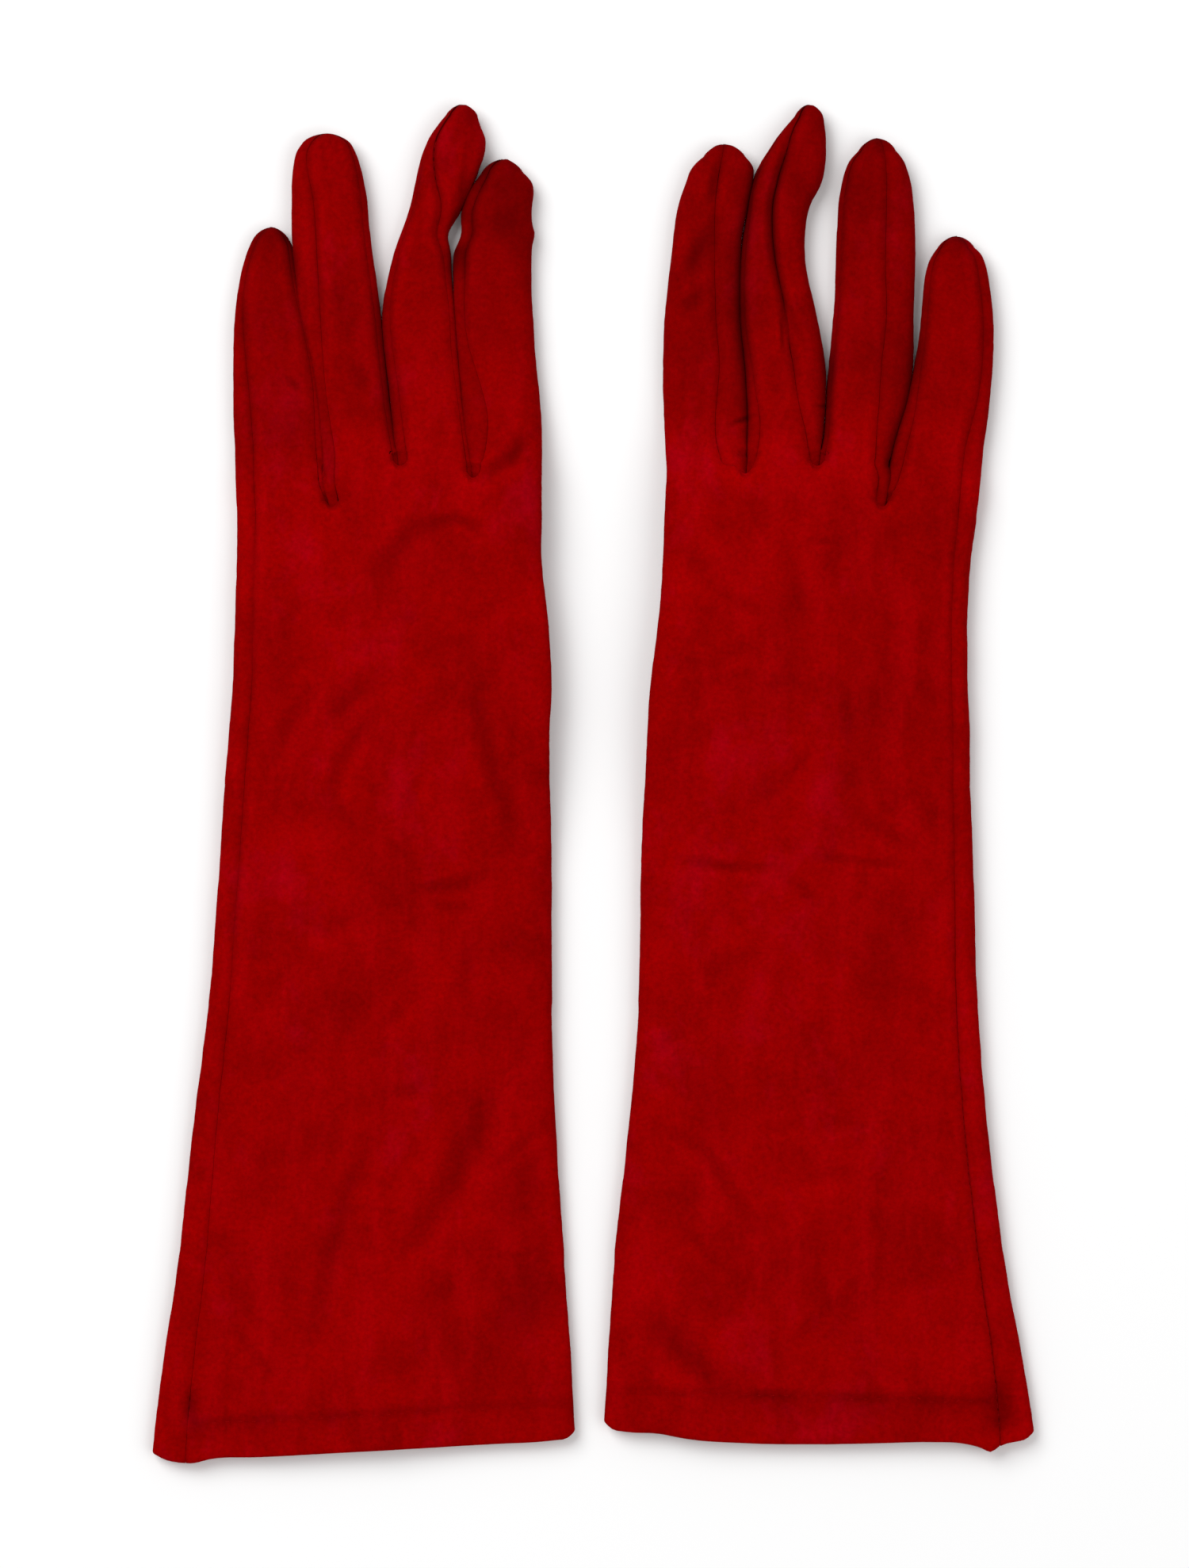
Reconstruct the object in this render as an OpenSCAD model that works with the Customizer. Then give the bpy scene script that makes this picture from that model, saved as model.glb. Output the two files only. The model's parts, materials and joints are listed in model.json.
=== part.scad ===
// A pair of long suede gloves, laid flat side by side with the backs up.
// Each glove is a gauntlet, a hand, four fingers with side strips, and a thumb
// that lies folded under the palm. +Y points to the fingertips, +Z up.

/* [Leather] */
// Thickness of the suede
leather_t = 0.8; // [0.6:0.1:1]
// Gap between two pieces that are sewn edge to edge
seam_gap = 0.1; // [0.05:0.05:0.2]
// Roundness of the arched cross-section
arch_power = 2.6; // [2:0.1:3.5]

/* [Heights] */
// Height of the gauntlet at the hem
hem_h = 9; // [8.5:0.5:10]
// Height of the gauntlet at the wrist
wrist_h = 11.5; // [11:0.5:12]
// Height of the back of the hand above the rest surface
hand_h = 14; // [13.5:0.5:16]
// Height of the fingers and of the hand's front edge
finger_h = 8; // [7:0.5:8.5]

/* [Fingers] */
// Gap between neighbouring fingers in plan
finger_gap = 1; // [0.8:0.1:1.4]
// How far a finger's back starts ahead of its knuckle line
knuckle_setback = 5; // [5:0.5:6]
// Share of the half width where the back panel meets the side strip
strip_edge = 0.9; // [0.86:0.01:0.92]

/* [Wrist] */
// How far the back of the hand starts ahead of the wrist line
wrist_setback = 6; // [6:0.5:7]
// Gap across the wrist and knuckle lines
fold_gap = 0.4; // [0.3:0.1:0.6]

/* [Thumb] */
// Height of the flattened thumb
thumb_h = 5; // [4.5:0.1:5.2]
// Clear height under the raised palm
palm_lift = 5.6; // [5.6:0.1:6]
// Length of the thumb
thumb_len = 54; // [48:1:56]
// Width of the thumb at its root
thumb_w = 20; // [18:1:22]
// Angle of the thumb across the palm at rest
thumb_lean = 8; // [4:1:10]

/* [Hem] */
// Height of the turned-in hem
hem_turn = 12; // [10:1:16]
// Height of the hem stitching above the edge
hem_stitch = 9; // [8:1:12]
// Width of a row of stitches
thread_w = 0.6; // [0.5:0.1:0.8]

/* [Hidden] */
suede = [0.55, 0.01, 0.06];
inner_suede = [0.42, 0.01, 0.05];
thread = [0.35, 0.0, 0.03];

// Edges of the left glove, from the hem to the wrist: y, left x, right x
left_arm = [
    [-168.5, -111.5, -4.5], [-150, -109.5, -5.5], [-118, -104.5, -7.5],
    [-86, -101, -9.5], [-54, -97, -10.5], [-22, -94.5, -10.5], [0, -93, -11]];
// Edges of the left hand, from the wrist to the finger bases
left_palm = [
    [0, -93, -11], [12, -92, -11], [26, -91, -10.5],
    [42, -90.5, -11.5], [58, -90, -13], [68, -90, -13]];
// Rise of the hem line towards +X
left_hem_slope = 0.055;
// Points between the fingers of the left glove
left_crotches = [[-66.5, 70], [-49, 80], [-30.5, 77]];
// Line of each left knuckle, little finger first
left_knuckles = [70, 80, 80, 77];
left_little = [
    [70, -90, -66.5], [84, -90.5, -70.5], [100, -91, -73],
    [116, -90.5, -74.5], [128, -89, -75.5], [136, -86.5, -76.5], [140, -84, -79.5]];
left_ring = [
    [80, -69.5, -49], [96, -73, -51.5], [110, -74.5, -53], [124, -75.5, -54.5],
    [148, -76, -57.5], [160, -74.5, -60.5], [164, -70, -64]];
left_middle = [
    [80, -49, -31], [100, -51.5, -33.5], [118, -53, -35], [132, -50.5, -36],
    [144, -46.5, -34], [160, -42.5, -27.5], [168, -38, -29], [171.5, -35.5, -31]];
left_index = [
    [77, -30.5, -13], [92, -32.5, -13], [108, -34, -14.5], [124, -35, -15.5],
    [136, -35, -15.5], [144, -33, -15.5], [152, -29, -15.5], [157, -26, -21]];

// Edges of the right glove, from the hem to the wrist
right_arm = [
    [-164, 2.5, 111.5], [-150, 3.5, 109.5], [-118, 5.5, 103.5],
    [-86, 9, 99.5], [-54, 11.5, 97], [-22, 12, 96], [0, 13, 95]];
// Edges of the right hand, from the wrist to the finger bases
right_palm = [
    [0, 13, 95], [12, 13.5, 95], [26, 14.5, 94.5],
    [42, 16.5, 94.5], [58, 17.5, 95.5], [68, 18, 97]];
right_hem_slope = -0.03;
right_crotches = [[38.5, 78], [56.5, 80], [73.5, 70]];
// Line of each right knuckle, index finger first
right_knuckles = [78, 80, 80, 70];
right_index = [
    [78, 18.5, 38.5], [100, 17.5, 38.5], [118, 18, 36.5], [136, 20, 37],
    [144, 21, 38.5], [152, 23.5, 40], [156, 25.5, 40], [161, 31.5, 35.5]];
right_middle = [
    [80, 39, 56.5], [92, 39, 58], [104, 38.5, 58.5], [116, 37.5, 56.5],
    [132, 37.5, 53.5], [144, 39, 54], [152, 40.5, 57.5], [160, 44.5, 58.5],
    [168, 50, 58], [171.5, 52, 56.5]];
right_ring = [
    [80, 57, 74], [90, 58.5, 77], [98, 59, 79.5], [112, 60, 81], [136, 61.5, 81],
    [148, 62.5, 80.5], [156, 64.5, 78.5], [162.5, 69.5, 74]];
right_little = [
    [70, 73.5, 97], [84, 75.5, 98.5], [100, 80, 100.5], [112, 82, 101],
    [122, 83, 100.5], [132, 85, 98.5], [138, 89.5, 93]];

// Fingers with their knuckle line and the sides that face a neighbour
LEFT = [
    [left_little, left_knuckles[0], 0, 1], [left_ring, left_knuckles[1], 1, 1],
    [left_middle, left_knuckles[2], 1, 1], [left_index, left_knuckles[3], 1, 0]];
RIGHT = [
    [right_index, right_knuckles[0], 0, 1], [right_middle, right_knuckles[1], 1, 1],
    [right_ring, right_knuckles[2], 1, 1], [right_little, right_knuckles[3], 1, 0]];

// Place of each thumb's root on the palm
left_thumb_root = [-34, 18];
right_thumb_root = [39, 18];
// Rows along the thumb: distance from the root, share of the width
thumb_profile = [
    [-6, 0.8], [0, 1], [14, 1], [28, 0.93], [40, 0.85], [48, 0.66], [54, 0.22]];

arch_cols = 12;
hand_cols = 10;
finger_cols = 8;
strip_cols = 2;
edge_steps = 3;
seam_share = 0.87;
// How far the stitches stand off the suede, at their top and underside
stitch_top = 0.4;
stitch_base = 0.15;
// Where along the hand the palm is raised over the thumb
lift_from = 1;
lift_full = 11;
lift_end = 68;
lift_front = 76;

// ---- curves ----

// Smooth curve through rows of numbers, a to d being four rows in turn
function curve(a, b, c, d, t) =
    0.5 * (2 * b + (c - a) * t + (2 * a - 5 * b + 4 * c - d) * t * t
        + (3 * b - a - 3 * c + d) * t * t * t);

function smooth_rows(rows, steps) = [
    for (i = [0:len(rows) - 2], k = [0:steps - 1])
        curve(rows[max(i - 1, 0)], rows[i], rows[i + 1],
            rows[min(i + 2, len(rows) - 1)], k / steps),
    rows[len(rows) - 1]];

// The edges at one y
function row_at(rows, y) = [
    y, lookup(y, [for (r = rows) [r[0], r[1]]]), lookup(y, [for (r = rows) [r[0], r[2]]])];

// The rows from y0 on, with a row added at y0 itself
function rows_from(rows, y0) = concat(
    [row_at(rows, y0)], [for (r = rows) if (r[0] > y0 + 1.5) r]);

function ease(a, b, x) =
    let (t = max(0, min(1, (x - a) / (b - a)))) t * t * (3 - 2 * t);

// Places across the width from one share to another, closest at the steep ends
function across(from, to, cols) = [
    for (j = [0:cols]) sin(asin(from) + (asin(to) - asin(from)) * j / cols)];

// ---- sheets ----

// A closed sheet between two grids of points, rows along +Y and columns along +X
module sheet(outer, inner) {
    rows = len(outer);
    cols = len(outer[0]);
    function id(k, i, j) = (k * rows + i) * cols + j;
    function quad(a, b, c, d) = [[a, b, c], [a, c, d]];
    tops = [for (i = [0:rows - 2], j = [0:cols - 2])
        each quad(id(0, i, j), id(0, i + 1, j), id(0, i + 1, j + 1), id(0, i, j + 1))];
    undersides = [for (i = [0:rows - 2], j = [0:cols - 2])
        each quad(id(1, i, j), id(1, i, j + 1), id(1, i + 1, j + 1), id(1, i + 1, j))];
    near = [for (j = [0:cols - 2])
        each quad(id(0, 0, j), id(0, 0, j + 1), id(1, 0, j + 1), id(1, 0, j))];
    far = [for (j = [0:cols - 2])
        each quad(id(0, rows - 1, j + 1), id(0, rows - 1, j),
            id(1, rows - 1, j), id(1, rows - 1, j + 1))];
    left = [for (i = [0:rows - 2])
        each quad(id(0, i + 1, 0), id(0, i, 0), id(1, i, 0), id(1, i + 1, 0))];
    right = [for (i = [0:rows - 2])
        each quad(id(0, i, cols - 1), id(0, i + 1, cols - 1),
            id(1, i + 1, cols - 1), id(1, i, cols - 1))];
    polyhedron(
        [for (grid = [outer, inner]) for (row = grid) for (p = row) p],
        concat(tops, undersides, near, far, left, right), convexity = 8);
}

// Height of an arch at share u of the half width, from a base to a top
function arch_z(u, base, top) =
    base + (top - base) * pow(max(0, 1 - pow(min(1, abs(u)), arch_power)), 1 / arch_power);

// A point on an arch; row is y, left x, right x, left base, right base, top.
// inset moves it in from the outer surface.
function arch_point(row, u, inset) =
    let (base = row[3] + (row[4] - row[3]) * (u + 1) / 2,
        half = (row[2] - row[1]) / 2 - inset)
    [(row[1] + row[2]) / 2 + half * u, row[0],
        arch_z(u, base, max(row[5] - inset, base + 0.1))];

// Adds bases and a top to rows of edges
function raised(rows, base, tops) = [
    for (i = [0:len(rows) - 1]) concat(rows[i], [base, base, tops[i]])];

// ---- gauntlet ----

base_z = leather_t + 0.02;

function arm_rows(rows) =
    let (kept = [for (i = [0:len(rows) - 1]) i == len(rows) - 1
        ? row_at(rows, -fold_gap) : rows[i]])
    raised(kept, base_z, [for (r = kept)
        hem_h + (wrist_h - hem_h) * ease(-150, 0, r[0])]);

// Slants the hem: the shift fades out up the arm
function slanted(p, rows, slope) =
    let (first = rows[0], fade = 1 - ease(first[0], first[0] + 60, p[1]))
    [p[0], p[1] + slope * fade * (p[0] - (first[1] + first[2]) / 2), p[2]];

function arm_grid(rows, slope, shares, inset) = [
    for (r = arm_rows(rows)) [for (u = shares) slanted(arch_point(r, u, inset), rows, slope)]];

module gauntlet_back(rows, slope) {
    shares = across(-1, 1, arch_cols);
    sheet(arm_grid(rows, slope, shares, 0), arm_grid(rows, slope, shares, leather_t));
}

// Flat outline between the edges, from the hem to the wrist
module gauntlet_palm(rows, slope) {
    fine = [for (r = smooth_rows(rows, edge_steps)) [min(r[0], -fold_gap), r[1], r[2]]];
    last = len(fine) - 1;
    linear_extrude(leather_t)
        polygon(concat(
            [for (r = fine) let (p = slanted([r[1], r[0], 0], rows, slope)) [p[0], p[1]]],
            [for (i = [last:-1:0])
                let (p = slanted([fine[i][2], fine[i][0], 0], rows, slope)) [p[0], p[1]]]));
}

// Two rows of the arm, the hem and a line above it
function hem_rows(rows, from, to) =
    raised([for (y = [rows[0][0] + from, rows[0][0] + to]) row_at(rows, y)],
        base_z, [hem_h, hem_h]);

function hem_grid(rows, slope, from, to, shares, inset) = [
    for (r = hem_rows(rows, from, to))
        [for (u = shares) slanted(arch_point(r, u, inset), rows, slope)]];

// The turned-in band inside the back of the mouth
module hem_back(rows, slope) {
    shares = across(-0.97, 0.97, arch_cols);
    depth = leather_t + 0.2;
    sheet(hem_grid(rows, slope, 0, hem_turn, shares, depth),
        hem_grid(rows, slope, 0, hem_turn, shares, depth + leather_t * 0.8));
}

// The turned-in band on the palm side of the mouth
module hem_palm(rows, slope) {
    margin = 6;
    ends = [for (y = [rows[0][0], rows[0][0] + hem_turn]) row_at(rows, y)];
    corners = [
        [ends[0][1] + margin, ends[0][0], 0], [ends[1][1] + margin, ends[1][0], 0],
        [ends[1][2] - margin, ends[1][0], 0], [ends[0][2] - margin, ends[0][0], 0]];
    translate([0, 0, base_z])
        linear_extrude(leather_t * 0.8)
            polygon([for (c = corners) let (p = slanted(c, rows, slope)) [p[0], p[1]]]);
}

// A row of stitches that stands just proud of the back and stops short of the
// side seam, side being -1 or 1 for the little-finger edge
module hem_stitching(rows, side, slope) {
    ends = side < 0 ? [-0.8, 0.9] : [-0.9, 0.8];
    shares = across(ends[0], ends[1], arch_cols);
    sheet(hem_grid(rows, slope, hem_stitch, hem_stitch + thread_w, shares, -stitch_top),
        hem_grid(rows, slope, hem_stitch, hem_stitch + thread_w, shares, -stitch_base));
}

// Stitches along the side seam; side is -1 or 1 for the little-finger edge
function seam_grid(rows, side, inset) = [
    for (r = rows) let (half = (r[2] - r[1]) / 2)
        [for (k = [-1, 1]) arch_point(r, side * seam_share + k * thread_w / 2 / half, inset)]];

module gauntlet_seam(rows, side, slope) {
    kept = arm_rows(rows);
    sheet([for (line = seam_grid(kept, side, -stitch_top))
            [for (p = line) slanted(p, rows, slope)]],
        [for (line = seam_grid(kept, side, -stitch_base))
            [for (p = line) slanted(p, rows, slope)]]);
}

// ---- hand ----

// The front edge of the hand: a step at each point between two fingers
function front_y(x, crotches, knuckles) =
    x < crotches[0][0] ? knuckles[0] : x < crotches[1][0] ? knuckles[1]
        : x < crotches[2][0] ? knuckles[2] : knuckles[3];

// Columns across the hand, with a close pair at each step of the front edge
function hand_shares(rows, crotches) =
    let (last = rows[len(rows) - 1], mid = (last[1] + last[2]) / 2,
        half = (last[2] - last[1]) / 2)
    [for (u = across(-1, 1, hand_cols)) if (u < -0.7) u,
        for (c = crotches) each [(c[0] - 0.5 - mid) / half, (c[0] + 0.5 - mid) / half],
        for (u = across(-1, 1, hand_cols)) if (u > 0.7) u];

// How far the palm is raised, u running from -1 to 1 and side the little-finger edge
function lift(u, y, side) =
    palm_lift * ease(lift_from, lift_full, y) * (1 - ease(lift_end, lift_front, y))
        * ease(-0.45, 0, -side * u);

// Rows of the hand, the last at the front edge
function hand_rows(rows, side, from) =
    let (kept = concat([row_at(rows, from)], [for (r = rows) if (r[0] > from + 2) r],
        [[100, rows[len(rows) - 1][1], rows[len(rows) - 1][2]]]))
    [for (r = kept) let (
        y = min(r[0], 78),
        climb = wrist_h + (hand_h - wrist_h) * ease(0, 26, y),
        top = finger_h + (climb - finger_h) * (1 - ease(52, 78, y)))
        [r[0], r[1], r[2], base_z + lift(-1, y, side), base_z + lift(1, y, side), top]];

function at_front(p, crotches, knuckles) =
    [p[0], min(p[1], front_y(p[0], crotches, knuckles) - fold_gap), p[2]];

function hand_grid(rows, side, crotches, knuckles, shares, inset) = [
    for (r = hand_rows(rows, side, wrist_setback)) [for (u = shares)
        at_front(arch_point(r, u, inset), crotches, knuckles)]];

module hand_back(rows, side, crotches, knuckles) {
    shares = hand_shares(rows, crotches);
    sheet(hand_grid(rows, side, crotches, knuckles, shares, 0),
        hand_grid(rows, side, crotches, knuckles, shares, leather_t));
}

// A point on the palm sheet, rise above its underside
function palm_point(r, u, side, crotches, knuckles, rise) =
    let (mid = (r[1] + r[2]) / 2, half = (r[2] - r[1]) / 2,
        p = at_front([mid + half * u, r[0], 0], crotches, knuckles))
    [p[0], p[1], lift(u, p[1], side) + rise];

module hand_palm(rows, side, crotches, knuckles) {
    fine = concat([row_at(rows, fold_gap)],
        [for (y = [6, 12, 26, 42, 58, 67]) row_at(rows, y)],
        [[100, rows[len(rows) - 1][1], rows[len(rows) - 1][2]]]);
    middle = [for (u = hand_shares(rows, crotches)) if (abs(u) < 0.7) u];
    shares = concat([-1, -0.8], middle, [0.8, 1]);
    sheet([for (r = fine) [for (u = shares)
            palm_point(r, u, side, crotches, knuckles, leather_t)]],
        [for (r = fine) [for (u = shares)
            palm_point(r, u, side, crotches, knuckles, 0)]]);
}

module hand_seam(rows, side, crotches, knuckles) {
    kept = hand_rows(rows, side, wrist_setback);
    sheet([for (line = seam_grid(kept, side, -stitch_top))
            [for (p = line) at_front(p, crotches, knuckles)]],
        [for (line = seam_grid(kept, side, -stitch_base))
            [for (p = line) at_front(p, crotches, knuckles)]]);
}

// ---- fingers ----

// A finger's edges, drawn in by half the gap on the sides that face a neighbour
function finger_edges(finger) = [
    for (r = finger[0]) [r[0], r[1] + finger[2] * finger_gap / 2,
        r[2] - finger[3] * finger_gap / 2]];

function finger_rows(finger) =
    let (rows = rows_from(finger_edges(finger), finger[1] + knuckle_setback),
        full = max([for (r = rows) r[2] - r[1]]))
    raised(rows, base_z, [for (r = rows)
        base_z + (finger_h - base_z) * pow((r[2] - r[1]) / full, 0.5)]);

// Inner rows stop short of the tip, so the tip closes
function drawn_back(p, tip) = [p[0], min(p[1], tip - leather_t), p[2]];

// Where the back panel ends at row i of n on a side that has a strip
function strip_share(i, n) = strip_edge + (0.97 - strip_edge) * i / (n - 1);

function finger_grid(rows, spans, cols, inset) =
    let (tip = rows[len(rows) - 1][0])
    [for (i = [0:len(spans) - 1]) [for (u = across(spans[i][0], spans[i][1], cols))
        inset > 0 ? drawn_back(arch_point(rows[i], u, inset), tip)
            : arch_point(rows[i], u, inset)]];

module finger_back(finger) {
    rows = finger_rows(finger);
    n = len(rows);
    spans = [for (i = [0:n - 1]) let (
        edge = i == n - 1 ? 1 : strip_share(i, n) - seam_gap / 10)
        [finger[2] == 1 ? -edge : -1, finger[3] == 1 ? edge : 1]];
    sheet(finger_grid(rows, spans, finger_cols, 0),
        finger_grid(rows, spans, finger_cols, leather_t));
}

// The side strip on one side, -1 or 1
module finger_strip(finger, side) {
    rows = finger_rows(finger);
    n = len(rows);
    spans = [for (i = [0:n - 2]) let (edge = strip_share(i, n))
        side < 0 ? [-1, -edge] : [edge, 1]];
    sheet(finger_grid(rows, spans, strip_cols, 0),
        finger_grid(rows, spans, strip_cols, leather_t));
}

module finger_front(finger) {
    fine = smooth_rows(finger_edges(finger), edge_steps);
    start = finger[1] + fold_gap;
    kept = [for (r = fine) [max(r[0], start), r[1], r[2]]];
    linear_extrude(leather_t)
        polygon(concat([for (r = kept) [r[1], r[0]]],
            [for (i = [len(kept) - 1:-1:0]) [kept[i][2], kept[i][0]]]));
}

// ---- thumb ----

function thumb_rows() = [
    for (r = thumb_profile) [r[0] * thumb_len / 54, -r[1] * thumb_w / 2, r[1] * thumb_w / 2]];

module thumb_upper(root, side) {
    rows = raised(thumb_rows(), base_z, [for (r = thumb_rows())
        base_z + (thumb_h - base_z) * pow((r[2] - r[1]) / thumb_w, 0.5)]);
    spans = [for (r = rows) [-1, 1]];
    translate([root[0], root[1], 0])
        rotate([0, 0, -side * thumb_lean])
            sheet(finger_grid(rows, spans, finger_cols, 0),
                finger_grid(rows, spans, finger_cols, leather_t));
}

module thumb_lower(root, side) {
    fine = smooth_rows(thumb_rows(), edge_steps);
    translate([root[0], root[1], 0])
        rotate([0, 0, -side * thumb_lean])
            linear_extrude(leather_t)
                polygon(concat([for (r = fine) [r[1], r[0]]],
                    [for (i = [len(fine) - 1:-1:0]) [fine[i][2], fine[i][0]]]));
}

// ---- left glove ----

module left_gauntlet_back() color(suede) gauntlet_back(left_arm, left_hem_slope);
module left_gauntlet_palm() color(suede) gauntlet_palm(left_arm, left_hem_slope);
module left_hem_back() color(inner_suede) hem_back(left_arm, left_hem_slope);
module left_hem_palm() color(inner_suede) hem_palm(left_arm, left_hem_slope);
module left_hem_stitching() color(thread) hem_stitching(left_arm, -1, left_hem_slope);
module left_gauntlet_seam() color(thread) gauntlet_seam(left_arm, -1, left_hem_slope);
module left_hand_back() color(suede)
    hand_back(left_palm, -1, left_crotches, left_knuckles);
module left_hand_palm() color(suede)
    hand_palm(left_palm, -1, left_crotches, left_knuckles);
module left_hand_seam() color(thread)
    hand_seam(left_palm, -1, left_crotches, left_knuckles);
module left_little_back() color(suede) finger_back(LEFT[0]);
module left_little_front() color(suede) finger_front(LEFT[0]);
module left_little_strip() color(suede) finger_strip(LEFT[0], 1);
module left_ring_back() color(suede) finger_back(LEFT[1]);
module left_ring_front() color(suede) finger_front(LEFT[1]);
module left_ring_outer_strip() color(suede) finger_strip(LEFT[1], -1);
module left_ring_inner_strip() color(suede) finger_strip(LEFT[1], 1);
module left_middle_back() color(suede) finger_back(LEFT[2]);
module left_middle_front() color(suede) finger_front(LEFT[2]);
module left_middle_outer_strip() color(suede) finger_strip(LEFT[2], -1);
module left_middle_inner_strip() color(suede) finger_strip(LEFT[2], 1);
module left_index_back() color(suede) finger_back(LEFT[3]);
module left_index_front() color(suede) finger_front(LEFT[3]);
module left_index_strip() color(suede) finger_strip(LEFT[3], -1);
module left_thumb_upper() color(suede) thumb_upper(left_thumb_root, -1);
module left_thumb_lower() color(suede) thumb_lower(left_thumb_root, -1);

// ---- right glove ----

module right_gauntlet_back() color(suede) gauntlet_back(right_arm, right_hem_slope);
module right_gauntlet_palm() color(suede) gauntlet_palm(right_arm, right_hem_slope);
module right_hem_back() color(inner_suede) hem_back(right_arm, right_hem_slope);
module right_hem_palm() color(inner_suede) hem_palm(right_arm, right_hem_slope);
module right_hem_stitching() color(thread) hem_stitching(right_arm, 1, right_hem_slope);
module right_gauntlet_seam() color(thread) gauntlet_seam(right_arm, 1, right_hem_slope);
module right_hand_back() color(suede)
    hand_back(right_palm, 1, right_crotches, right_knuckles);
module right_hand_palm() color(suede)
    hand_palm(right_palm, 1, right_crotches, right_knuckles);
module right_hand_seam() color(thread)
    hand_seam(right_palm, 1, right_crotches, right_knuckles);
module right_index_back() color(suede) finger_back(RIGHT[0]);
module right_index_front() color(suede) finger_front(RIGHT[0]);
module right_index_strip() color(suede) finger_strip(RIGHT[0], 1);
module right_middle_back() color(suede) finger_back(RIGHT[1]);
module right_middle_front() color(suede) finger_front(RIGHT[1]);
module right_middle_inner_strip() color(suede) finger_strip(RIGHT[1], -1);
module right_middle_outer_strip() color(suede) finger_strip(RIGHT[1], 1);
module right_ring_back() color(suede) finger_back(RIGHT[2]);
module right_ring_front() color(suede) finger_front(RIGHT[2]);
module right_ring_inner_strip() color(suede) finger_strip(RIGHT[2], -1);
module right_ring_outer_strip() color(suede) finger_strip(RIGHT[2], 1);
module right_little_back() color(suede) finger_back(RIGHT[3]);
module right_little_front() color(suede) finger_front(RIGHT[3]);
module right_little_strip() color(suede) finger_strip(RIGHT[3], -1);
module right_thumb_upper() color(suede) thumb_upper(right_thumb_root, 1);
module right_thumb_lower() color(suede) thumb_lower(right_thumb_root, 1);

left_gauntlet_back();
left_gauntlet_palm();
left_hem_back();
left_hem_palm();
left_hem_stitching();
left_gauntlet_seam();
left_hand_back();
left_hand_palm();
left_hand_seam();
left_little_back();
left_little_front();
left_little_strip();
left_ring_back();
left_ring_front();
left_ring_outer_strip();
left_ring_inner_strip();
left_middle_back();
left_middle_front();
left_middle_outer_strip();
left_middle_inner_strip();
left_index_back();
left_index_front();
left_index_strip();
left_thumb_upper();
left_thumb_lower();
right_gauntlet_back();
right_gauntlet_palm();
right_hem_back();
right_hem_palm();
right_hem_stitching();
right_gauntlet_seam();
right_hand_back();
right_hand_palm();
right_hand_seam();
right_index_back();
right_index_front();
right_index_strip();
right_middle_back();
right_middle_front();
right_middle_inner_strip();
right_middle_outer_strip();
right_ring_back();
right_ring_front();
right_ring_inner_strip();
right_ring_outer_strip();
right_little_back();
right_little_front();
right_little_strip();
right_thumb_upper();
right_thumb_lower();
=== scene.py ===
"""A pair of long suede gloves, laid flat with their backs up."""
import json
import math

import bpy
import numpy as np
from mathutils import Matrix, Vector


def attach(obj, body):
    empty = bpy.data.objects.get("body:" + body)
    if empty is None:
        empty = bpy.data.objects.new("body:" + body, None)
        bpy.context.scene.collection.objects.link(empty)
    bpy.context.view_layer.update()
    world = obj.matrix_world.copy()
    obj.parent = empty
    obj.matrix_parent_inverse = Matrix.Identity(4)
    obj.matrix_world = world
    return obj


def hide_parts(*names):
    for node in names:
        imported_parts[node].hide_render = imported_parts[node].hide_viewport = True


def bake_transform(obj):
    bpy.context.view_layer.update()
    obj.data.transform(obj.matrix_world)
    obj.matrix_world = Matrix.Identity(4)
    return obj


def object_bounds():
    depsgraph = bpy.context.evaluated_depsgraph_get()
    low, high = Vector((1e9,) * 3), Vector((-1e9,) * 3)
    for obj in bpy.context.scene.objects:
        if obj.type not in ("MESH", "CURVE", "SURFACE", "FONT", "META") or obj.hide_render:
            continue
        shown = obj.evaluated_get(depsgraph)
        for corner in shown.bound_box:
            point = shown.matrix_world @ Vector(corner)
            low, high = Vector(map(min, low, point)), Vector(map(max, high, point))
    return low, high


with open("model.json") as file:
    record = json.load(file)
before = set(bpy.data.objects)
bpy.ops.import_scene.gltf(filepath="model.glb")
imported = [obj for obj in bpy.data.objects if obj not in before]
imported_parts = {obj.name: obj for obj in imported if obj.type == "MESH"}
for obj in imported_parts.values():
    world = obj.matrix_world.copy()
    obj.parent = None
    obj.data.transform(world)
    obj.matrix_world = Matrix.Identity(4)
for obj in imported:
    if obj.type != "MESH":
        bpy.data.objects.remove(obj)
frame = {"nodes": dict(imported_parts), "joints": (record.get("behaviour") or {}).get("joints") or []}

CAD_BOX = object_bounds()
MM = 0.001

# Sizes in millimetres
GRID = 1.05      # spacing of the mesh over the hand and gauntlet
FINGER_GRID = 0.85
SUEDE = 0.7                             # thickness
FRONT_ROWS = 12                         # closer rows of the mesh along the finger bases,
FRONT_REACH = 5.0                       # over this length
LOOP_STEPS = 360                        # points round a cross-section before it is divided

HAND_ROWS_END = 67.5                    # Y where the fingers give the outline instead of the hand
HAND_END = 80.0                         # Y where the hand's section ends
CAD_GAP = 1.0                           # between two neighbouring fingers of the frame
ROW_CLEAR = 1.5                         # shortest step from a finger's base to its edges' next point
FINGER_GAP = 0.74                       # how far a finger's edge is let out into that gap
SECTION_POWER = 4.0                     # flatness of the hand's and gauntlet's section
FINGER_POWER = 2.8                      # and of the fingers' section
EDGE_Z = 2.2                            # height of the folded edge of the gauntlet and hand
TOP_Z = 8.0                             # typical height of their backs
HAND_HALF = 42.0                        # typical half width of the hand
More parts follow.
